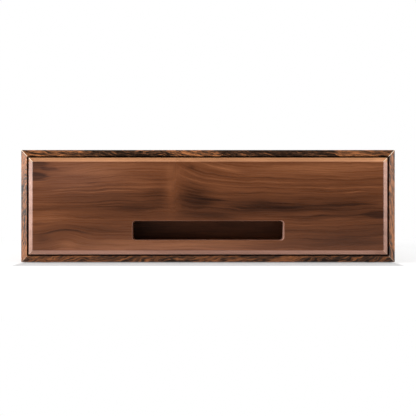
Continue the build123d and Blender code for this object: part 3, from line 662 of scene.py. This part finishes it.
def cedar():
    """Raw cedar with soft rings and short pores, the grain of each board along its longer way."""
    wood, look = Finish("cedar"), colours()
    place = wood.place()
    sway = wood.stretched(place, (0.008, 0.02, 0.03), 2.0)
    bent = wood.vector("ADD", place, wood.join(0.0, (sway - 0.5) * 12.0, (sway - 0.5) * 14.0))
    ring = wood.stretched(bent, (0.006, 0.11, 0.13), 3.0, 0.55)
    fibre = wood.stretched(bent, (0.05, 0.9, 1.0), 3.0, 0.6)
    pores = wood.step(wood.stretched(bent, (0.12, 1.9, 2.2), 1.0, 0.5), 0.63, 0.72)
    tone = 0.5 + (ring - 0.5) * 1.3 + (fibre - 0.5) * 0.5
    colour = wood.mix(tone, look.cedar_dark, look.cedar_light)
    colour = wood.mix(pores * 0.45, colour, tuple(0.6 * value for value in look.cedar_dark))
    return wood.surface(
        Base_Color=colour,
        Roughness=0.62 + (fibre - 0.5) * 0.15,
        Normal=wood.bump(fibre - pores, 0.06, 0.6),
    )


def hardwood():
    """Plain pale hardwood, its grain along Y."""
    wood, look = Finish("hardwood"), colours()
    place = wood.place()
    ring = wood.stretched(place, (0.25, 0.01, 0.3), 3.0)
    fibre = wood.stretched(place, (1.8, 0.12, 1.8), 3.0, 0.6)
    dark = tuple(0.62 * value for value in look.hardwood)
    return wood.surface(
        Base_Color=wood.mix(0.5 + (ring - 0.5) * 1.2 + (fibre - 0.5) * 0.7, dark, look.hardwood),
        Roughness=0.42 + (fibre - 0.5) * 0.12,
        Normal=wood.bump(fibre, 0.03, 0.5),
    )


def metal(name, colour, rough, grain):
    """Brushed metal with faint handling marks. The grain's three numbers stretch the brushing."""
    finish = Finish(name)
    place = finish.place()
    brush = finish.stretched(place, grain, 3.0, 0.6)
    smudge = finish.stretched(place, (0.12, 0.12, 0.12), 3.0, 0.6)
    dull = tuple(0.78 * value for value in colour)
    return finish.surface(
        Base_Color=finish.mix(finish.step(smudge, 0.45, 0.75) * 0.6, colour, dull),
        Metallic=1.0,
        Roughness=rough + (brush - 0.5) * 0.12 + (smudge - 0.5) * 0.16,
        Normal=finish.bump(brush, 0.01, 0.35),
    )


def brass():
    return metal("brass", colours().brass, 0.36, (6.0, 6.0, 6.0))


def steel():
    return metal("steel", tint(196, 197, 200), 0.3, (5.0, 5.0, 5.0))


def moulded(name, colour, rough, cell):
    """Rubber or plastic with a fine moulded grain, its cells a few tenths of a millimetre."""
    finish = Finish(name)
    place = finish.place()
    size = (1.0 / cell,) * 3
    grain = finish.stretched(place, size, 2.0, 0.6)
    dust = finish.stretched(place, (0.3, 0.3, 0.3), 3.0, 0.6)
    pale = tuple(1.7 * value + 0.004 for value in colour)
    return finish.surface(
        Base_Color=finish.mix(finish.step(dust, 0.4, 0.8) * 0.7, colour, pale),
        Roughness=rough + (grain - 0.5) * 0.15,
        Normal=finish.bump(grain, 0.04, 0.5),
    )


def seal_rubber():
    return moulded("seal_rubber", colours().rubber, 0.72, 0.4)


def pad_rubber():
    return moulded("pad_rubber", colours().rubber, 0.66, 0.3)


def black_plastic():
    return moulded("black_plastic", colours().plastic, 0.58, 0.25)


def foam():
    """Open-cell foam, its cells darkened with painted shade."""
    finish, look = Finish("foam"), colours()
    place = finish.place()
    cells = finish.node("ShaderNodeTexVoronoi", {}, {"Vector": place, "Scale": 0.9})
    patch = finish.stretched(place, (0.1, 0.1, 0.1), 2.0)
    # Painted shade: the foam is darker in its cells, as shade in its pores
    dark = tuple(0.25 * value for value in look.foam)
    return finish.surface(
        Base_Color=finish.mix(finish.step(cells, 0.1, 0.6), dark, finish.mix(patch, look.foam, dark)),
        Roughness=0.9 + (patch - 0.5) * 0.1,
        Normal=finish.bump(cells, 0.4, 0.8),
    )


def paint(name, colour, rough):
    """Printed paint on metal, very slightly uneven."""
    finish = Finish(name)
    place = finish.place()
    speck = finish.stretched(place, (2.5, 2.5, 2.5), 2.0)
    fade = finish.stretched(place, (0.15, 0.15, 0.15), 2.0)
    worn = tuple(0.9 * value for value in colour)
    return finish.surface(
        Base_Color=finish.mix(fade, colour, worn),
        Roughness=rough + (speck - 0.5) * 0.12,
        Normal=finish.bump(speck, 0.01, 0.4),
    )


def dial_paint():
    return paint("dial_paint", colours().dial, 0.55)


def ink_paint():
    return paint("needle_paint", colours().ink, 0.45)


def comfort_paint():
    return paint("comfort_paint", colours().comfort, 0.5)


def glass():
    """Clear flat glass."""
    finish = Finish("glass")
    smear = finish.stretched(finish.place(), (0.2, 0.2, 0.2), 2.0)
    return finish.surface(
        Base_Color=(0.97, 0.99, 0.98),
        Roughness=0.01 + smear * 0.03,
        IOR=1.47,
        Transmission_Weight=1.0,
    )


FINISHES = {
    "walnut": walnut,
    "shaded_walnut": shaded_walnut,
    "cedar": cedar,
    "hardwood": hardwood,
    "seal_rubber": seal_rubber,
    "pad_rubber": pad_rubber,
    "brass": brass,
    "steel": steel,
    "dial_paint": dial_paint,
    "needle_paint": ink_paint,
    "comfort_paint": comfort_paint,
    "glass": glass,
    "black_plastic": black_plastic,
    "foam": foam,
}


def finish_named(name):
    """The material of one finish, made when it is first asked for."""
    return bpy.data.materials.get("humidor_" + name) or FINISHES[name]()


def dress(node, material=None):
    """Gives a node of the frame its finish."""
    for slot in frame["nodes"][node].material_slots:
        slot.material = material or finish_named(SLOT_OF[node])


def stand(name, data):
    """An object in the scene that holds a mesh, a text, a lamp or a camera."""
    holder = bpy.data.objects.new(name, data)
    bpy.context.scene.collection.objects.link(holder)
    return holder


def mesh_of(shape, name):
    """The mesh that a shape under edit has become. The shape is freed."""
    mesh = bpy.data.meshes.new(name)
    shape.to_mesh(mesh)
    shape.free()
    return mesh


def add_piece(name, mesh, body, material, replaces=()):
    """Adds a finished mesh as a piece that rides on a body."""
    mesh.name = name
    mesh.materials.clear()
    mesh.materials.append(material)
    piece = stand(name, mesh)
    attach(piece, body)
    if replaces:
        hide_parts(*replaces)
    return piece


def smooth(mesh, degrees=PIECE_CORNER):
    """Shades a mesh smooth, with flat faces kept flat and corners kept sharp."""
    for polygon in mesh.polygons:
        polygon.use_smooth = True
    mesh.set_sharp_from_angle(angle=math.radians(degrees))
    holder = stand("holder", mesh)
    weighted = holder.modifiers.new("weighted", "WEIGHTED_NORMAL")
    weighted.keep_sharp = True
    return settled(holder)


def settled(holder):
    """The plain mesh that an object's modifiers make. The object is removed."""
    graph = bpy.context.evaluated_depsgraph_get()
    mesh = bpy.data.meshes.new_from_object(holder.evaluated_get(graph))
    bpy.data.objects.remove(holder)
    return mesh


def eased_mesh(node, easing, segments=2):
    """A copy of a node's mesh, its sharp edges eased."""
    shape = bmesh.new()
    shape.from_mesh(frame["nodes"][node].data)
    bmesh.ops.remove_doubles(shape, verts=shape.verts, dist=MERGE_GAP)
    bmesh.ops.dissolve_limit(
        shape, angle_limit=math.radians(FLAT_ANGLE), verts=shape.verts, edges=shape.edges
    )
    sharp = [
        edge
        for edge in shape.edges
        if len(edge.link_faces) == 2
        and edge.calc_face_angle(0.0) > math.radians(SHARP_ANGLE)
    ]
    bmesh.ops.bevel(
        shape,
        geom=sharp,
        offset=easing,
        offset_type="OFFSET",
        segments=segments,
        profile=0.5,
        affect="EDGES",
        clamp_overlap=True,
    )
    return smooth(mesh_of(shape, node))


def ease(node, easing, segments=2, material=None):
    """Stands an eased copy of a node in the node's place."""
    mesh = eased_mesh(node, easing, segments)
    slot = SLOT_OF[node]
    return add_piece(
        node + "_eased", mesh, BODY_OF[node], material or finish_named(slot), (node,)
    )


def turned_mesh(profile, segments=48):
    """A closed mesh turned about Z from (radius, z) points; points on the axis close it."""
    shape = bmesh.new()
    points = [shape.verts.new((r, 0.0, z)) for r, z in profile]
    edges = [shape.edges.new(pair) for pair in zip(points, points[1:])]
    if profile[0][0] > 0.0 or profile[-1][0] > 0.0:
        edges.append(shape.edges.new((points[-1], points[0])))
    bmesh.ops.spin(
        shape,
        geom=points + edges,
        cent=(0.0, 0.0, 0.0),
        axis=(0.0, 0.0, 1.0),
        angle=math.tau,
        steps=segments,
        use_merge=True,
    )
    bmesh.ops.remove_doubles(shape, verts=shape.verts, dist=MERGE_GAP)
    bmesh.ops.recalc_face_normals(shape, faces=shape.faces)
    return mesh_of(shape, "turned")


class RepeatTree(Graph):
    """A Geometry Nodes tree with named inputs, whose result becomes a plain mesh."""

    def __init__(self, name, inputs):
        tree = bpy.data.node_groups.new("humidor_" + name, "GeometryNodeTree")
        super().__init__(tree)
        face = tree.interface
        face.new_socket(name="Geometry", in_out="OUTPUT", socket_type="NodeSocketGeometry")
        face.new_socket(name="Geometry", in_out="INPUT", socket_type="NodeSocketGeometry")
        self.keys = {}
        for title, kind in inputs.items():
            made = face.new_socket(name=title, in_out="INPUT", socket_type="NodeSocket" + kind)
            self.keys[title] = made.identifier
        entry = self.node("NodeGroupInput")
        self.given = {title: entry.out(title) for title in ("Geometry", *inputs)}

    def finish(self, geometry):
        """Ends the tree: instances made real, and the material set."""
        real = self.node("GeometryNodeRealizeInstances", {}, (geometry,))
        sockets = {"Geometry": real, "Material": self.given["Material"]}
        self.node("NodeGroupOutput", {}, (self.node("GeometryNodeSetMaterial", {}, sockets),))

    def run(self, points, values):
        """Runs the tree on a list of points and returns the plain mesh."""
        mesh = bpy.data.meshes.new("points")
        mesh.from_pydata(points, [], [])
        holder = stand("holder", mesh)
        modifier = holder.modifiers.new("repeat", "NODES")
        modifier.node_group = self.tree
        for title, value in values.items():
            modifier[self.keys[title]] = value
        return settled(holder)


def screw_template(diameter, length):
    """One slotted screw with a softly crowned head, its axis along Z and its head's top at 0."""
    radius, head = diameter / 2, diameter
    crown = 0.12 * diameter
    profile = [
        (0.0, -0.02 * diameter),
        (0.55 * head, -0.05 * diameter),
        (0.90 * head, -crown * 0.8),
        (0.985 * head, -crown * 1.5),
        (radius * 1.05, radius - head - 0.05 * diameter),
        (radius, -0.45 * length),
        (0.55 * radius, 2 * radius - length),
        (0.0, -length * 0.985),
    ]
    screw = stand("screw_template", turned_mesh(profile, 40))
    blade = bmesh.new()
    bmesh.ops.create_cube(blade, size=1.0)
    size = Matrix.Diagonal((*(share * diameter for share in SCREW_SLOT), 1.0))
    bmesh.ops.transform(blade, matrix=size, verts=blade.verts)
    cutter = stand("screw_slot", mesh_of(blade, "screw_slot"))
    cut = screw.modifiers.new("slot", "BOOLEAN")
    cut.operation, cut.object, cut.solver = "DIFFERENCE", cutter, "EXACT"
    mesh = smooth(settled(screw), SCREW_CORNER)
    bpy.data.objects.remove(cutter)
    return stand("screw_template", mesh)


def screw_tree():
    """Screws on points, each turned about its own axis by a fixed chance."""
    inputs = {"Screw": "Object", "Tilt": "Vector", "Seed": "Int", "Material": "Material"}
    tree = RepeatTree("screws", inputs)
    given = tree.given
    screw = tree.node("GeometryNodeObjectInfo", {}, {"Object": given["Screw"]}).out("Geometry")
    chance = tree.node(
        "FunctionNodeRandomValue",
        {"data_type": "FLOAT"},
        {"Min": -math.pi, "Max": math.pi, "Seed": given["Seed"]},
    )
    own = tree.join(0.0, 0.0, chance)
    turned = tree.node(
        "FunctionNodeRotateEuler",
        {"space": "LOCAL"},
        {"Rotation": given["Tilt"], "Rotate By": own},
    )
    placed = tree.node(
        "GeometryNodeInstanceOnPoints",
        {},
        {"Points": given["Geometry"], "Instance": screw, "Rotation": turned},
    )
    tree.finish(placed)
    return tree


def tick_tree():
    """Marks round a dial: every tenth one long, every fifth one middling."""
    inputs = {
        "Count": "Int",
        "Radius": "Float",
        "Length": "Float",
        "Width": "Float",
        "Height": "Float",
        "Start": "Float",
        "Sweep": "Float",
        "Centre": "Vector",
        "Material": "Material",
    }
    tree = RepeatTree("ticks", inputs)
    given = tree.given
    line = tree.node("GeometryNodeMeshLine", {"mode": "OFFSET"}, {"Count": given["Count"]})
    index = tree.node("GeometryNodeInputIndex")
    angle = given["Start"] - given["Sweep"] * index / (given["Count"] - 1.0)
    tenth = index.math("MODULO", 10.0).math("LESS_THAN", 0.5)
    fifth = index.math("MODULO", 5.0).math("LESS_THAN", 0.5)
    stretch = 1.0 + tenth * 0.9 + fifth * 0.35
    ring = given["Radius"] - given["Length"] * stretch * 0.5
    spot = tree.join(angle.math("COSINE") * ring, angle.math("SINE") * ring, 0.0)
    spot = tree.vector("ADD", spot, given["Centre"])
    points = tree.node("GeometryNodeSetPosition", {}, {"Geometry": line, "Position": spot})
    size = tree.join(given["Length"], given["Width"], given["Height"])
    mark = tree.node("GeometryNodeMeshCube", {}, {"Size": size})
    placed = tree.node(
        "GeometryNodeInstanceOnPoints",
        {},
        {
            "Points": points,
            "Instance": mark,
            "Rotation": tree.join(0.0, 0.0, angle),
            "Scale": tree.join(stretch, 1.0 + tenth * 0.7, 1.0),
        },
    )
    tree.finish(placed)
    return tree


def loose_boxes(node):
    """The lowest and highest corner of each loose part of a node."""
    shape = bmesh.new()
    shape.from_mesh(frame["nodes"][node].data)
    bmesh.ops.remove_doubles(shape, verts=shape.verts, dist=MERGE_GAP)
    boxes, seen = [], set()
    for start in shape.verts:
        if start in seen:
            continue
        group, queue = [], [start]
        seen.add(start)
        while queue:
            vert = queue.pop()
            group.append(vert.co.copy())
            for edge in vert.link_edges:
                other = edge.other_vert(vert)
                if other not in seen:
                    seen.add(other)
                    queue.append(other)
        low = Vector(min(co[i] for co in group) for i in range(3))
        high = Vector(max(co[i] for co in group) for i in range(3))
        boxes.append((low, high))
    shape.free()
    return boxes


def middle(low, high):
    """The middle of a box."""
    return (low + high) / 2


def add_screws(node, box, rows):
    """Stands crowned screws in place of a node's, in rows of (heads, tilt). The box is one screw's."""
    tree = screw_tree()
    finish = finish_named(SLOT_OF[node])
    reach = sorted(box[1] - box[0])
    template = screw_template(reach[0] / 2, reach[2])
    shape = bmesh.new()
    for heads, tilt in rows:
        values = {"Screw": template, "Tilt": tilt, "Seed": sizes().screw_seed, "Material": finish}
        shape.from_mesh(tree.run(heads, values))
    bpy.data.objects.remove(template)
    mesh = smooth(mesh_of(shape, node), SCREW_CORNER)
    return add_piece(node + "_turned", mesh, BODY_OF[node], finish, (node,))


class HumidorStep:
    """What every step of the dressing shares."""

    bl_options = {"REGISTER"}


class HUMIDOR_OT_casing(HumidorStep, bpy.types.Operator):
    """Gives the casing its figured wood, an eased back panel, tongues and foot pads"""

    bl_idname = "humidor.casing"
    bl_label = "Casing"

    def execute(self, context):
        for board in ("top", "bottom", "left", "right"):
            dress("casing_" + board, figured_wood(board))
        ease("casing_back", sizes().board_easing, material=figured_wood("back"))
        dress("mitre_splines")
        ease("foot_pads", sizes().board_easing, 3)
        return {"FINISHED"}


class HUMIDOR_OT_lining(HumidorStep, bpy.types.Operator):
    """Lines the casing with eased cedar boards"""

    bl_idname = "humidor.lining"
    bl_label = "Cedar lining"

    def execute(self, context):
        for side in ("top", "bottom", "back", "left", "right"):
            ease("lining_" + side, sizes().board_easing)
        return {"FINISHED"}


class HUMIDOR_OT_runners(HumidorStep, bpy.types.Operator):
    """Adds the runners, their screws, the stop strip and the casing's magnets"""

    bl_idname = "humidor.runners"
    bl_label = "Runners and stop strip"

    def execute(self, context):
        for node in ("runner_left", "runner_right", "stop_strip"):
            ease(node, sizes().board_easing)
        ease("casing_magnets", sizes().trim_easing)
        boxes = loose_boxes("runner_screws")
        left = [(high.x, *middle(low, high)[1:]) for low, high in boxes if low.x < 0]
        right = [(low.x, *middle(low, high)[1:]) for low, high in boxes if low.x > 0]
        rows = ((left, (0.0, QUARTER, 0.0)), (right, (0.0, -QUARTER, 0.0)))
        add_screws("runner_screws", boxes[0], rows)
        return {"FINISHED"}


class HUMIDOR_OT_front(HumidorStep, bpy.types.Operator):
    """Gives the drawer's front its walnut figure, with the pocket, plate and seal behind it"""

    bl_idname = "humidor.front"
    bl_label = "Drawer front"

    def execute(self, context):
        dress("drawer_front")
        for node in ("pocket_frame", "seal_plate"):
            # The pocket's parts take walnut darkened with painted shade
            ease(node, sizes().board_easing, material=finish_named("shaded_walnut"))
        ease("drawer_seal", sizes().seal_easing, 3)
        return {"FINISHED"}


class HUMIDOR_OT_drawer_box(HumidorStep, bpy.types.Operator):
    """Builds the dovetailed cedar box of the drawer, with its screws and magnets"""

    bl_idname = "humidor.drawer_box"
    bl_label = "Drawer box"

    def execute(self, context):
        easing = sizes().board_easing
        for node in (
            "drawer_inner_front",
            "drawer_side_left",
            "drawer_side_right",
            "drawer_back",
            "drawer_floor",
        ):
            ease(node, easing * 0.6)
        boxes = loose_boxes("front_screws")
        heads = [(middle(low, high).x, high.y, middle(low, high).z) for low, high in boxes]
        add_screws("front_screws", boxes[0], ((heads, (-QUARTER, 0.0, 0.0)),))
        ease("drawer_magnets", sizes().trim_easing)
        return {"FINISHED"}


class HUMIDOR_OT_bay(HumidorStep, bpy.types.Operator):
    """Adds the vented partition, cleat and shelf of the instrument bay"""

    bl_idname = "humidor.bay"
    bl_label = "Instrument bay"

    def execute(self, context):
        for node in ("bay_partition", "bay_cleat", "bay_shelf"):
            ease(node, sizes().board_easing)
        return {"FINISHED"}


class HUMIDOR_OT_dividers(HumidorStep, bpy.types.Operator):
    """Adds the rails and the two dividers that slide on them"""

    bl_idname = "humidor.dividers"
    bl_label = "Dividers"

    def execute(self, context):
        for node in ("divider_rail_front", "divider_rail_back", "divider_left", "divider_right"):
            ease(node, sizes().board_easing)
        return {"FINISHED"}


# The dial's scale runs clockwise from its 0 by this sweep to its 100
SCALE_START = math.radians(225.0)
SCALE_SWEEP = math.radians(270.0)
# Where the print lies, as shares of the dial's radius, and how thick it is
TICK_RING = 0.84
NUMERAL_RING = 0.575
BAND_RING = (0.87, 0.93)
PRINT_DEPTH = 0.03 * MM
TICK_DEPTH = 0.08 * MM
# The numbers step by 20, and the humidity is right from 65 to 75
NUMERAL_STEP = 20
BAND_START, BAND_SPAN = 0.65, 0.10
BAND_STEPS = 24


class HUMIDOR_OT_hygrometer(HumidorStep, bpy.types.Operator):
    """Adds the dial gauge: cup, bezel, glass, printed dial, coil and needle"""

    bl_idname = "humidor.hygrometer"
    bl_label = "Hygrometer"

    def execute(self, context):
        for node in ("hygrometer_case", "hygrometer_coil", "hygrometer_shaft", "hygrometer_dial"):
            dress(node)
        ease("hygrometer_glass", sizes().glass_easing)
        ease("hygrometer_bezel", sizes().trim_easing, 3)
        ink = finish_named("needle_paint")
        needle = eased_mesh("hygrometer_needle", sizes().needle_easing)
        add_piece("needle_blade", needle, "needle", ink, ("hygrometer_needle",))
        low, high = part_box("hygrometer_dial")
        centre = Vector((*middle(low, high)[:2], high.z + PRINT_DEPTH))
        radius = (high.x - low.x) / 2
        add_piece("dial_ticks", self.ticks(centre, radius), "drawer", ink)
        add_piece("dial_numerals", self.numerals(centre, radius), "drawer", ink)
        band = self.band(centre, radius)
        add_piece("dial_band", band, "drawer", finish_named("comfort_paint"))
        return {"FINISHED"}

    def way(self, share):
        """The direction from the dial's centre to a share of its scale."""
        angle = SCALE_START - SCALE_SWEEP * share
        return Vector((math.cos(angle), math.sin(angle), 0.0))

    def ticks(self, centre, radius):
        """The marks of the scale, in one mesh."""
        values = {
            "Count": sizes().tick_count,
            "Radius": TICK_RING * radius,
            "Length": sizes().tick_length,
            "Width": sizes().tick_width,
            "Height": TICK_DEPTH,
            "Start": SCALE_START,
            "Sweep": SCALE_SWEEP,
            "Centre": centre,
            "Material": finish_named("needle_paint"),
        }
        return tick_tree().run([], values)

    def numerals(self, centre, radius):
        """Numbers from 0 to 100 inside the ticks, in one mesh."""
        shape = bmesh.new()
        for number in range(0, 101, NUMERAL_STEP):
            text = bpy.data.curves.new("numeral", "FONT")
            text.body = str(number)
            text.size = sizes().numeral_size
            text.align_x, text.align_y = "CENTER", "CENTER"
            text.extrude = PRINT_DEPTH
            mesh = settled(stand("numeral", text))
            away = self.way(number / 100) * radius * NUMERAL_RING
            mesh.transform(Matrix.Translation(centre + away))
            shape.from_mesh(mesh)
        return mesh_of(shape, "dial_numerals")

    def band(self, centre, radius):
        """A thin printed arc where the humidity is right."""
        shape = bmesh.new()
        inner, outer = BAND_RING
        foot = -0.02 * MM
        corners = ((inner, foot), (outer, foot), (outer, PRINT_DEPTH), (inner, PRINT_DEPTH))
        rings = []
        for i in range(BAND_STEPS + 1):
            way = self.way(BAND_START + BAND_SPAN * i / BAND_STEPS) * radius
            places = [centre + way * far + Vector((0.0, 0.0, up)) for far, up in corners]
            rings.append([shape.verts.new(place) for place in places])
        for a, b in zip(rings, rings[1:]):
            for i in range(4):
                j = (i + 1) % 4
                shape.faces.new((a[i], a[j], b[j], b[i]))
        shape.faces.new(rings[0])
        shape.faces.new(rings[-1])
        bmesh.ops.recalc_face_normals(shape, faces=shape.faces)
        return mesh_of(shape, "dial_band")


class HUMIDOR_OT_humidifier(HumidorStep, bpy.types.Operator):
    """Adds the humidifier's tray, its foam and its eased grille"""

    bl_idname = "humidor.humidifier"
    bl_label = "Humidifier"

    def execute(self, context):
        ease("humidifier_tray", sizes().trim_easing, 3)
        ease("humidifier_foam", sizes().foam_easing, 3)
        ease("humidifier_grille", sizes().trim_easing, 3)
        return {"FINISHED"}


class HUMIDOR_OT_stop(HumidorStep, bpy.types.Operator):
    """Adds the turn button that stops the drawer, and its screw"""

    bl_idname = "humidor.stop"
    bl_label = "Stop button"

    def execute(self, context):
        ease("stop_button", sizes().trim_easing, 3)
        dress("stop_button_screw")
        return {"FINISHED"}


# The softboxes: name, (degrees to the left, degrees up, distance), (width, height), brightness, in metres
SOFTBOXES = (
    ("left_softbox", (70.0, 13.0, 1.5), (0.50, 0.90), 10.0),
    ("left_high_softbox", (50.0, 33.0, 1.5), (0.30, 0.34), 12.0),
    ("right_softbox", (-70.0, 13.0, 1.5), (0.50, 0.90), 5.0),
    ("right_high_softbox", (-50.0, 33.0, 1.5), (0.30, 0.34), 9.0),
    ("top_softbox", (0.0, 100.0, 1.3), (1.50, 0.80), 1.9),
)
# The height of the humidor's middle, which the softboxes point at
AIM_HEIGHT = 0.067
# The camera's place in metres, its lens and sensor in millimetres, and the nearest and furthest it sees
CAMERA_PLACE = (0.0, -1.08, 0.0647)
CAMERA_LENS, CAMERA_SENSOR = 69.6, 36.0
CAMERA_REACH = (0.01, 60.0)
# The floor: its radius in metres, its own glow near the humidor, the share of its colour that takes
# shadows, and where in millimetres it turns plain white, to the camera and in polished pieces
FLOOR_RADIUS = 14.0
FLOOR_GLOW = 0.34
FLOOR_SHARE = 0.55
FLOOR_FADE = (330.0, 620.0)
FLOOR_MIRROR_FADE = (330.0, 760.0)
WHITE, BLACK = (1.0, 1.0, 1.0), (0.0, 0.0, 0.0)
# The surroundings as light: their strength on matt pieces, their least strength in polished ones, and
# the Y of a mirrored ray's direction between which they brighten in those
SKY_MATT, SKY_LEAST, SKY_RISE = 0.16, 0.01, (-0.1, 0.5)
# The lamp behind: its strength, and in degrees how wide it looks and how far it leans forward
BACK_STRENGTH, BACK_SPREAD, BACK_LEAN = 2.3, 0.8, 20.0


class HUMIDOR_OT_stage(HumidorStep, bpy.types.Operator):
    """Sets the floor, the lamps, the white surroundings and the camera"""

    bl_idname = "humidor.stage"
    bl_label = "Stage"

    def execute(self, context):
        self.add_floor()
        self.add_surroundings()
        for softbox in SOFTBOXES:
            self.add_softbox(*softbox)
        self.add_back_lamp()
        self.add_camera()
        context.scene.view_settings.view_transform = "Standard"
        return {"FINISHED"}

    def add_floor(self):
        """A wide pale floor that turns plain white away from the humidor."""
        shape = bmesh.new()
        bmesh.ops.create_circle(shape, cap_ends=True, radius=FLOOR_RADIUS, segments=96)
        mesh = mesh_of(shape, "floor")
        mesh.materials.append(self.floor_paper())
        stand("floor", mesh)

    def floor_paper(self):
        """Pale paper that takes the humidor's shadow. Polished pieces see it darken further away."""
        finish = Finish("floor")
        place = finish.place()
        x, y = finish.parts(place)[:2]
        away = finish.vector("LENGTH", finish.join(x / 1.3, y, 0.0)).out("Value")
        speck = finish.stretched(place, (0.02, 0.02, 0.02), 2.0)
        colour = finish.mix(speck * 0.04, colours().floor, (0.7, 0.7, 0.7))
        shaded = finish.mix(FLOOR_SHARE, BLACK, colour)
        paper = finish.node("ShaderNodeBsdfDiffuse", {}, {"Color": shaded})
        glow = finish.node("ShaderNodeEmission", {}, {"Color": WHITE, "Strength": FLOOR_GLOW})
        near = finish.node("ShaderNodeAddShader", {}, (paper, glow))
        far = finish.node("ShaderNodeEmission", {}, {"Color": WHITE, "Strength": 1.0})
        to_camera = finish.node("ShaderNodeMixShader", {}, (finish.step(away, *FLOOR_FADE), near, far))
        fading = finish.mix(finish.step(away, *FLOOR_MIRROR_FADE), colour, (0.03, 0.03, 0.03))
        mirrored = finish.node("ShaderNodeBsdfDiffuse", {}, {"Color": fading})
        bounce = finish.node("ShaderNodeBsdfDiffuse", {}, {"Color": (0.75, 0.75, 0.75)})
        rays = finish.node("ShaderNodeLightPath")
        polished = rays.out("Is Glossy Ray").math("MAXIMUM", rays.out("Is Transmission Ray"))
        others = finish.node("ShaderNodeMixShader", {}, (polished, bounce, mirrored))
        shown = finish.node("ShaderNodeMixShader", {}, (rays.out("Is Camera Ray"), others, to_camera))
        finish.node("ShaderNodeOutputMaterial", {}, (shown,))
        return finish.material

    def add_surroundings(self):
        """White to the camera and behind the humidor, and a soft grey for its light."""
        world = bpy.context.scene.world or bpy.data.worlds.new("surroundings")
        bpy.context.scene.world = world
        world.use_nodes = True
        sky = Graph(world.node_tree)
        rays = sky.node("ShaderNodeLightPath")
        way = sky.node("ShaderNodeTexCoord").out("Generated")
        split = sky.node("ShaderNodeSeparateXYZ", {}, (way,))
        behind = sky.step(split.out("Y"), *SKY_RISE)
        mirrored = rays.out("Is Glossy Ray").math("MAXIMUM", rays.out("Is Transmission Ray"))
        soft = SKY_MATT * (1.0 - mirrored) + mirrored * (SKY_LEAST + behind * (1.0 - SKY_LEAST))
        camera = rays.out("Is Camera Ray")
        strength = camera + (1.0 - camera) * soft
        shader = sky.node("ShaderNodeBackground", {}, {"Color": WHITE, "Strength": strength})
        sky.node("ShaderNodeOutputWorld", {}, (shader,))

    def add_back_lamp(self):
        """A lamp high behind the humidor that lays the short shadow in front of it."""
        lamp = bpy.data.lights.new("back_lamp", "SUN")
        lamp.energy, lamp.angle = BACK_STRENGTH, math.radians(BACK_SPREAD)
        holder = stand("back_lamp", lamp)
        holder.rotation_euler = (-math.radians(BACK_LEAN), 0.0, 0.0)
        holder.visible_glossy = False

    def add_softbox(self, name, way, size, radiance):
        """A rectangular lamp that points at the front."""
        azimuth, elevation, distance = math.radians(way[0]), math.radians(way[1]), way[2]
        lamp = bpy.data.lights.new(name, "AREA")
        lamp.shape, lamp.size, lamp.size_y = "RECTANGLE", size[0], size[1]
        lamp.energy = radiance * math.pi * size[0] * size[1]
        holder = stand(name, lamp)
        target = Vector((0.0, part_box("drawer_front")[0].y, AIM_HEIGHT))
        level = math.cos(elevation)
        way_out = Vector((-math.sin(azimuth) * level, -math.cos(azimuth) * level, math.sin(elevation)))
        holder.location = target + way_out * distance
        holder.rotation_euler = (-way_out).to_track_quat("-Z", "Y").to_euler()
        holder.visible_camera = False

    def add_camera(self):
        """A level camera straight in front."""
        camera = bpy.data.cameras.new("camera")
        camera.lens, camera.sensor_width = CAMERA_LENS, CAMERA_SENSOR
        camera.clip_start, camera.clip_end = CAMERA_REACH
        holder = stand("camera", camera)
        holder.location = CAMERA_PLACE
        holder.rotation_euler = (QUARTER, 0.0, 0.0)
        bpy.context.scene.camera = holder


class HUMIDOR_PT_panel(bpy.types.Panel):
    """Lists the steps, sizes and colours of the humidor"""

    bl_idname = "HUMIDOR_PT_panel"
    bl_label = "Humidor"
    bl_space_type = "VIEW_3D"
    bl_region_type = "UI"
    bl_category = "Humidor"

    def draw(self, context):
        for step in STEPS:
            self.layout.operator(step.bl_idname)
        for group in (context.scene.humidor_sizes, context.scene.humidor_colours):
            for name in group.bl_rna.properties.keys():
                if name not in ("rna_type", "name"):
                    self.layout.prop(group, name)


STEPS = (
    HUMIDOR_OT_casing,
    HUMIDOR_OT_lining,
    HUMIDOR_OT_runners,
    HUMIDOR_OT_front,
    HUMIDOR_OT_drawer_box,
    HUMIDOR_OT_bay,
    HUMIDOR_OT_dividers,
    HUMIDOR_OT_hygrometer,
    HUMIDOR_OT_humidifier,
    HUMIDOR_OT_stop,
    HUMIDOR_OT_stage,
)
CLASSES = (HumidorSizes, HumidorColours, *STEPS, HUMIDOR_PT_panel)


def register():
    for kind in CLASSES:
        bpy.utils.register_class(kind)
    bpy.types.Scene.humidor_sizes = bpy.props.PointerProperty(type=HumidorSizes)
    bpy.types.Scene.humidor_colours = bpy.props.PointerProperty(type=HumidorColours)


def unregister():
    del bpy.types.Scene.humidor_colours
    del bpy.types.Scene.humidor_sizes
    for kind in reversed(CLASSES):
        bpy.utils.unregister_class(kind)


def main():
    """Runs every step in order."""
    register()
    for step in STEPS:
        operator = getattr(bpy.ops.humidor, step.bl_idname.split(".")[1])
        operator()


if __name__ == "__main__":
    main()
